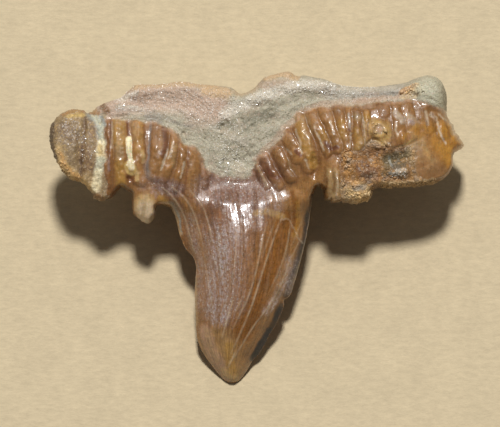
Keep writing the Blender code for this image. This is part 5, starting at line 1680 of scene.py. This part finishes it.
# %% Broken material
def make_broken():
    material, tree, shader, where = new_material("broken_dentine")
    warp = node(tree, "ShaderNodeTexNoise", {"Vector": where, "Scale": 7.0, "Detail": 2.0})
    bent = mixed(tree, 0.06, where, warp.outputs["Color"], "LINEAR_LIGHT")
    grains = cells(tree, bent, 12.0)
    small = cells(tree, bent, 30.0)
    joints = cells(tree, bent, 12.0, "DISTANCE_TO_EDGE").outputs["Distance"]
    mottle = texture(tree, where, 6.0, 4.0, 0.7)
    streaks = texture(tree, stretched(tree, bent, (1.0, 0.30, 1.0), 0.35), 15.0, 3.0, 0.7)
    each, each_small = (
        node(tree, "ShaderNodeSeparateColor", {"Color": made.outputs["Color"]}) for made in (grains, small)
    )
    crumble = attribute(tree, "crumble")

    stain = attribute(tree, "stain", "Color")
    colour = shaded(tree, stain, out(each, "Red"), 0.0, 1.0, 0.82, 1.24)
    colour = mixed(tree, mapped(tree, out(each, "Green"), 0.72, 0.86, 0.0, 0.4), colour, GINGER)
    colour = mixed(tree, mapped(tree, out(each, "Blue"), 0.78, 0.90, 0.0, 0.3), colour, SEAM)
    colour = shaded(tree, colour, joints, 0.0, 0.10, 0.90, 1.08)
    calm = shaded(tree, stain, streaks, 0.3, 0.7, 0.72, 1.3)
    calm = mixed(tree, mapped(tree, out(each_small, "Blue"), 0.86, 0.94, 0.0, 0.4), calm, GOLD)
    colour = mixed(tree, crumble, calm, colour)
    colour = shaded(tree, colour, out(each_small, "Red"), 0.0, 1.0, 0.84, 1.20)
    colour = mixed(tree, mapped(tree, out(each_small, "Green"), 0.90, 0.96, 0.0, 0.45), colour, PALE_AND_HIGHLIGHT)
    colour = shaded(tree, colour, mottle, 0.3, 0.7, 0.80, 1.2)

    height = maths(tree, "MULTIPLY", mapped(tree, joints, 0.0, 0.2, 0.0, 0.7), crumble)
    height = maths(tree, "ADD", height, maths(tree, "ADD", mottle, streaks))
    height = maths(tree, "SUBTRACT", height, maths(tree, "MULTIPLY", small.outputs["Distance"], 0.4))
    fill(tree, shader, {
        "Base Color": colour, "Roughness": mapped(tree, out(each_small, "Blue"), 0.0, 1.0, 0.42, 0.80),
        "Normal": bumped(tree, height, 0.014), "Coat Weight": 0.06, "Coat Roughness": 0.2,
    })
    return material


broken_material = make_broken()

# %% [markdown]
# ## Striae: ribs along drawn lines
#
# Thin ridges run down the cusp and close in on its tip. They are drawn as lines on the face and laid
# on the surface. Geometry Nodes then do the work: Geometry Proximity measures how far each vertex is
# from the nearest line, a smooth ramp turns that into a ridge, and Set Position lifts it along the
# normal. The same number is stored as an attribute, so the enamel can paint its ridges pale.

# %% Lines of the striae
STRIAE = (
    (1.0, (-1.91, -0.14), (-1.60, -0.43), (-1.36, -0.81), (-1.20, -1.34), (-1.08, -1.77)),
    (0.9, (-1.72, -0.10), (-1.34, -0.43), (-1.12, -0.77), (-0.98, -1.20), (-0.86, -1.63)),
    (0.8, (-1.22, -0.22), (-0.91, -0.62), (-0.77, -1.00), (-0.65, -1.53)),
    (0.55, (-0.53, -1.24), (-0.48, -1.72), (-0.48, -2.30)),
    (0.5, (-0.10, -1.10), (-0.10, -1.67), (-0.17, -2.27), (-0.29, -2.87)),
    (0.9, (0.65, -1.00), (0.53, -1.48), (0.41, -2.06), (0.22, -2.73), (0.00, -3.21), (-0.19, -3.59)),
    (1.0, (1.03, -0.81), (0.74, -1.58), (0.55, -2.15), (0.29, -2.97), (0.00, -3.68), (-0.24, -4.21)),
    (0.9, (1.24, -0.86), (1.10, -1.67), (0.89, -2.25), (0.67, -2.73)),
    (1.0, (1.48, -1.34), (1.17, -1.99), (1.00, -2.46), (0.67, -3.04), (0.31, -3.52), (-0.29, -4.50)),
    (0.8, (0.07, -2.78), (-0.10, -3.16)),
    (1.0, (-0.17, -2.87), (-0.31, -3.35), (-0.43, -3.78)),
    (1.0, (-0.10, -4.09), (-0.29, -4.52)),
    (0.5, (-0.84, -1.96), (-0.74, -2.63), (-0.60, -3.30)),
    (0.45, (0.84, -0.96), (0.67, -1.44), (0.53, -1.87)),
    (0.4, (1.53, -0.81), (1.39, -1.20), (1.24, -1.58)),
)
STRIA_STEP = 0.03  # between the points of a wire
STRIA_WIDTH = 0.037
STRIA_HEIGHT = 0.022
STRIA_ENDS = (0.02, 0.98)  # the part of a sine that fades a wire in and out


def on_face(points):
    """Points of the flat face, laid on the finished surface, in metres."""
    gap = line_distance(points, edge, closed=True)[0]
    return placed(leaned(points, face_level(points, gap))) * MM


def line_object(name, lines):
    """Wires through the given lines, each with a fade that is full in its middle."""
    spots, wires, fades = [], [], []
    for strength, *path in lines:
        line = curve_through(path, STRIA_STEP)
        wires += [(len(fades) + i, len(fades) + i + 1) for i in range(len(line) - 1)]
        fades += list(strength * np.sqrt(np.sin(math.pi * np.linspace(*STRIA_ENDS, len(line)))))
        spots.append(on_face(line))
    wire_mesh = bpy.data.meshes.new(name)
    wire_mesh.from_pydata(np.vstack(spots), wires, [])
    fade = wire_mesh.attributes.new("fade", "FLOAT", "POINT")
    fade.data.foreach_set("value", np.array(fades, np.float32))
    return linked(name, wire_mesh)


stria_lines = line_object("stria_lines", STRIAE)
print(len(STRIAE), "striae over", len(stria_lines.data.vertices), "points")

# %% [markdown]
# ## Running a tree once
#
# Each Geometry Nodes tree is built here in the script with named inputs. An input is set through its
# identifier before the object is first evaluated. The result is then turned into a plain mesh and the
# modifier goes, so the mesh holds exactly what is seen.

# %% Tree helpers
def new_tree(name, inputs):
    """A geometry tree with its group nodes and one named input for each entry."""
    tree = bpy.data.node_groups.new(name, "GeometryNodeTree")
    tree.interface.new_socket("Geometry", in_out="OUTPUT", socket_type="NodeSocketGeometry")
    for label, kind in {"Geometry": "Geometry", **inputs}.items():
        tree.interface.new_socket(label, in_out="INPUT", socket_type="NodeSocket" + kind)
    return tree, tree.nodes.new("NodeGroupInput").outputs, tree.nodes.new("NodeGroupOutput").inputs[0]


def named(tree, name):
    """A named number of each vertex, read inside a geometry tree."""
    found = node(tree, "GeometryNodeInputNamedAttribute", {"Name": name}, data_type="FLOAT")
    return out(found, "Attribute")


def coated(tree, geometry, material, chosen=True):
    """The geometry with a material on the chosen faces."""
    return out(node(tree, "GeometryNodeSetMaterial", {
        "Geometry": geometry, "Selection": chosen, "Material": material,
    }))


def run_tree(obj, tree, values):
    """The plain mesh that the tree makes of the object with these values."""
    modifier = obj.modifiers.new(tree.name, "NODES")
    modifier.node_group = tree
    for item in tree.interface.items_tree:
        if item.item_type == "SOCKET" and item.in_out == "INPUT" and item.name in values:
            modifier[item.identifier] = values[item.name]
    view = bpy.context.evaluated_depsgraph_get()
    made = bpy.data.meshes.new_from_object(obj.evaluated_get(view), depsgraph=view)
    obj.modifiers.remove(modifier)
    return made


# %% Raise the striae and hand out the materials
def stria_tree():
    inputs = {"Lines": "Object", "Width": "Float", "Height": "Float", "Enamel": "Material",
              "Root": "Material", "Broken": "Material"}
    tree, given, result = new_tree("ribs along lines", inputs)
    lines = out(node(tree, "GeometryNodeObjectInfo", {"Object": given["Lines"]}), "Geometry")
    near = node(tree, "GeometryNodeProximity", {0: lines}, target_element="EDGES")
    ridge = node(tree, "ShaderNodeMapRange", {
        "Value": out(near, "Distance"), "From Min": 0.0, "From Max": given["Width"],
        "To Min": 1.0, "To Max": 0.0,
    }, interpolation_type="SMOOTHSTEP")
    nearest = node(tree, "GeometryNodeSampleNearest", {"Geometry": lines}, domain="POINT")
    sampled = node(tree, "GeometryNodeSampleIndex", {
        "Geometry": lines, "Value": named(tree, "fade"), "Index": out(nearest, "Index"),
    }, data_type="FLOAT", domain="POINT")
    stria = maths(tree, "MULTIPLY", out(ridge), out(sampled))
    stored = node(tree, "GeometryNodeStoreNamedAttribute", {
        "Geometry": given["Geometry"], "Name": "stria", "Value": stria,
    }, data_type="FLOAT", domain="POINT")
    lift = node(tree, "ShaderNodeVectorMath", {
        "Vector": out(node(tree, "GeometryNodeInputNormal")),
        "Scale": maths(tree, "MULTIPLY", stria, given["Height"]),
    }, operation="SCALE")
    shaped = node(tree, "GeometryNodeSetPosition", {"Geometry": out(stored), "Offset": out(lift)})
    real = node(tree, "GeometryNodeRealizeInstances", {"Geometry": out(shaped)})
    coloured = coated(tree, out(real), given["Enamel"])
    kind = named(tree, "zone")
    for label, least, most in (("Root", 0.5, 1.5), ("Broken", 1.5, 2.5)):
        above = maths(tree, "GREATER_THAN", kind, least)
        inside = maths(tree, "MULTIPLY", above, maths(tree, "LESS_THAN", kind, most))
        coloured = coated(tree, coloured, given[label], inside)
    tree.links.new(coloured, result)
    return tree


tooth.data = run_tree(tooth, stria_tree(), {
    "Lines": stria_lines, "Width": STRIA_WIDTH * MM, "Height": STRIA_HEIGHT * MM,
    "Enamel": enamel_material, "Root": root_material, "Broken": broken_material,
})
tooth.data.name = "tooth_body"
bpy.data.objects.remove(stria_lines)
print("materials on the tooth:", [m.name for m in tooth.data.materials])

# %% [markdown]
# ## Loose grains: rust crumbs and crystals
#
# Rust has crept into the broken ends as tiny rounded crumbs and larger nodules, and crystals sit on the
# ridges of the root. A particle system could strew them, but Geometry Nodes keep every size and seed as
# a named input and leave a plain mesh. Points are spread over the faces where a mask allows, and each
# gets a small grain with a random turn and size, whose middle lies in the surface so that half of it
# stands out. A random tone is stored with each one for its colour.

# %% Scatter tree
FULL_TURN = (6.283, 6.283, 6.283)
TONE_SEED = 5


def chance(tree, least, most, seed, kind="FLOAT"):
    """A random value for each grain."""
    ends = {"Min": least, "Max": most, "Seed": seed}
    return out(node(tree, "FunctionNodeRandomValue", ends, data_type=kind))


def scatter_tree(name, mask_name, make_grain):
    inputs = {"Grains per square millimetre": "Float", "Smallest": "Float", "Largest": "Float",
              "Seed": "Int", "Finish": "Material"}
    tree, given, result = new_tree(name, inputs)
    density = maths(tree, "MULTIPLY", given["Grains per square millimetre"], 1.0 / MM**2)
    spots = node(tree, "GeometryNodeDistributePointsOnFaces", {
        "Mesh": given["Geometry"], "Density": maths(tree, "MULTIPLY", density, named(tree, mask_name)),
        "Seed": given["Seed"],
    })
    turn = chance(tree, (0.0, 0.0, 0.0), FULL_TURN, given["Seed"], "FLOAT_VECTOR")
    size = chance(tree, given["Smallest"], given["Largest"], given["Seed"])
    grains = node(tree, "GeometryNodeInstanceOnPoints", {
        "Points": out(spots, "Points"), "Instance": make_grain(tree),
        "Rotation": out(node(tree, "FunctionNodeEulerToRotation", {"Euler": turn})),
        "Scale": maths(tree, "MULTIPLY", size, MM),
    })
    toned = node(tree, "GeometryNodeStoreNamedAttribute", {
        "Geometry": out(grains), "Name": "tone", "Value": chance(tree, 0.0, 1.0, TONE_SEED),
    }, data_type="FLOAT", domain="INSTANCE")
    real = node(tree, "GeometryNodeRealizeInstances", {"Geometry": out(toned)})
    tree.links.new(coated(tree, out(real), given["Finish"]), result)
    return tree


def crumb(tree):
    """A rounded lump one unit across, made uneven."""
    ball = node(tree, "GeometryNodeMeshIcoSphere", {"Radius": 0.5, "Subdivisions": 1})
    wobble = node(tree, "ShaderNodeTexNoise", {"Scale": 1.7, "Detail": 0.0})
    offset = node(tree, "ShaderNodeVectorMath", {
        0: wobble.outputs["Color"], 1: (0.5, 0.5, 0.5),
    }, operation="SUBTRACT")
    moved = node(tree, "GeometryNodeSetPosition", {"Geometry": out(ball, "Mesh"), "Offset": out(offset)})
    return out(node(tree, "GeometryNodeSetShadeSmooth", {"Geometry": out(moved)}))


def crystal(tree):
    """A flat-sided block one unit long."""
    return out(node(tree, "GeometryNodeMeshCube", {"Size": (1.0, 0.7, 0.55)}), "Mesh")


# %% [markdown]
# ### Finishes of the grains
#
# A crumb takes its colour from its tone, somewhere between dark rust, ginger and chalky pink. A crystal
# is pale and glossy, so that some of them catch the light.

# %% Grain materials
def grain_material(name, own, light, rough, coat):
    material, tree, shader, where = new_material(name)
    tone = attribute(tree, "tone")
    colour = shaded(tree, attribute(tree, "stain", "Color"), tone, 0.0, 1.0, 0.8, 1.6)
    colour = mixed(tree, own, colour, light)
    colour = shaded(tree, colour, texture(tree, where, 22.0, 2.0), 0.3, 0.7, 0.8, 1.2)
    fill(tree, shader, {
        "Base Color": colour, "Roughness": mapped(tree, tone, 0.0, 1.0, rough, rough + 0.15),
        "Normal": bumped(tree, texture(tree, where, 40.0, 2.0), 0.004),
        "Coat Weight": coat, "Coat Roughness": 0.1,
    })
    return material


rust_material = grain_material("rust_crumb", 0.12, (0.62, 0.42, 0.24), 0.45, 0.1)
nodule_material = grain_material("mineral_nodule", 0.15, CHALK_AND_HIGHLIGHT, 0.50, 0.1)
crystal_material = grain_material("crystal_grain", 0.7, (0.88, 0.84, 0.77), 0.15, 0.5)

# %% Scatter them
GRAINS = (
    ("rust_crumbs", "crumbs", crumb, rust_material, 260.0, 0.020, 0.075, 11),
    ("mineral_nodules", "nodules", crumb, nodule_material, 110.0, 0.050, 0.130, 23),
    ("crystal_grains", "sparkle", crystal, crystal_material, 420.0, 0.012, 0.034, 17),
)


def scatter(name, mask_name, make_grain, finish, per_mm2, smallest, largest, seed):
    tree = scatter_tree(name, mask_name, make_grain)
    made = run_tree(tooth, tree, {
        "Grains per square millimetre": per_mm2, "Smallest": smallest, "Largest": largest,
        "Seed": seed, "Finish": finish,
    })
    made.name = name
    print(name, len(made.polygons), "faces")
    return linked(name, made)


grains = [scatter(*row) for row in GRAINS]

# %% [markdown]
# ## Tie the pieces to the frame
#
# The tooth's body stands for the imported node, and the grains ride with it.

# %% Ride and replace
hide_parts("tooth")
for piece in (tooth, *grains):
    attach(piece, "root")

# %% [markdown]
# ## Floor, light and camera
#
# The tooth is seen square to its face from a long way off, as through a macro lens, so the two heels are
# in true proportion. One soft lamp stands towards the top of the picture and lays the shadow below the
# tooth, and a dim sky fills it. More lamps would be simpler to balance, but they would double the
# highlights on the cusp. The floor is the colour of plain paper.

# %% Floor
FLOOR_COLOUR = (0.60, 0.49, 0.315)
FLOOR_HALF = 0.4  # metres


def make_floor():
    floor_mesh = bpy.data.meshes.new("floor")
    corners = [(x * FLOOR_HALF, y * FLOOR_HALF, 0.0) for x, y in ((-1, -1), (1, -1), (1, 1), (-1, 1))]
    floor_mesh.from_pydata(corners, [], [(0, 1, 2, 3)])
    material, tree, shader, where = new_material("plain_paper")
    grain = texture(tree, stretched(tree, where, (0.45, 1.0, 1.0)), 9.0, 4.0, 0.8)
    dark_paper, light_paper = (tuple(share * c for c in FLOOR_COLOUR) for share in (0.86, 1.12))
    paper = mixed(tree, mapped(tree, grain, 0.25, 0.75, 0.0, 1.0), dark_paper, light_paper)
    paper = shaded(tree, paper, texture(tree, where, 1.2, 4.0), 0.3, 0.7, 0.96, 1.04)
    fill(tree, shader, {"Base Color": paper, "Roughness": 0.9, "Normal": bumped(tree, grain, 0.02)})
    floor_mesh.materials.append(material)
    return linked("floor", floor_mesh)


floor = make_floor()

# %% Camera
VIEW_CENTRE = (0.239, -0.801)  # the place on the face in the middle of the picture
VIEW_WIDTH = 11.96  # millimetres of the face across the picture
VIEW_DISTANCE = 120.0  # millimetres
VIEW_LEVEL = 0.35  # height of the face at that place
SENSOR = 36.0

outwards = Vector((0.0, -math.sin(LEAN), math.cos(LEAN)))
upwards = Vector((0.0, math.cos(LEAN), math.sin(LEAN)))
aim = Vector(placed(leaned(np.array([VIEW_CENTRE]), np.array([VIEW_LEVEL])))[0]) * MM


def look_at(obj, place, target):
    obj.location = place
    obj.rotation_euler = (place - target).to_track_quat("Z", "Y").to_euler()


camera = linked("camera", bpy.data.cameras.new("camera"))
camera.data.sensor_width = SENSOR
camera.data.lens = VIEW_DISTANCE / VIEW_WIDTH * SENSOR
camera.data.clip_start = 0.001
camera.data.clip_end = 10.0
look_at(camera, aim + outwards * VIEW_DISTANCE * MM, aim)
bpy.context.scene.camera = camera
print("camera", VIEW_DISTANCE, "mm away, with a lens of", round(camera.data.lens), "mm")

# %% Lamp and sky
LAMP_TILT = math.radians(36.0)  # from the camera's axis towards the top of the picture
LAMP_DISTANCE = 0.3  # metres
LAMP_SIZE = 0.035
LAMP_WATTS = 0.92
SKY_COLOUR = (1.0, 0.98, 0.95, 1.0)
SKY_STRENGTH = 0.13

towards_lamp = outwards * math.cos(LAMP_TILT) + upwards * math.sin(LAMP_TILT)
lamp = linked("lamp", bpy.data.lights.new("lamp", "AREA"))
lamp.data.size = LAMP_SIZE
lamp.data.energy = LAMP_WATTS
look_at(lamp, aim + towards_lamp.normalized() * LAMP_DISTANCE, aim)

world = bpy.data.worlds.new("studio")
world.use_nodes = True
sky = world.node_tree.nodes["Background"]
fill(world.node_tree, sky, {"Color": SKY_COLOUR, "Strength": SKY_STRENGTH})
bpy.context.scene.world = world
bpy.context.scene.view_settings.view_transform = "Standard"
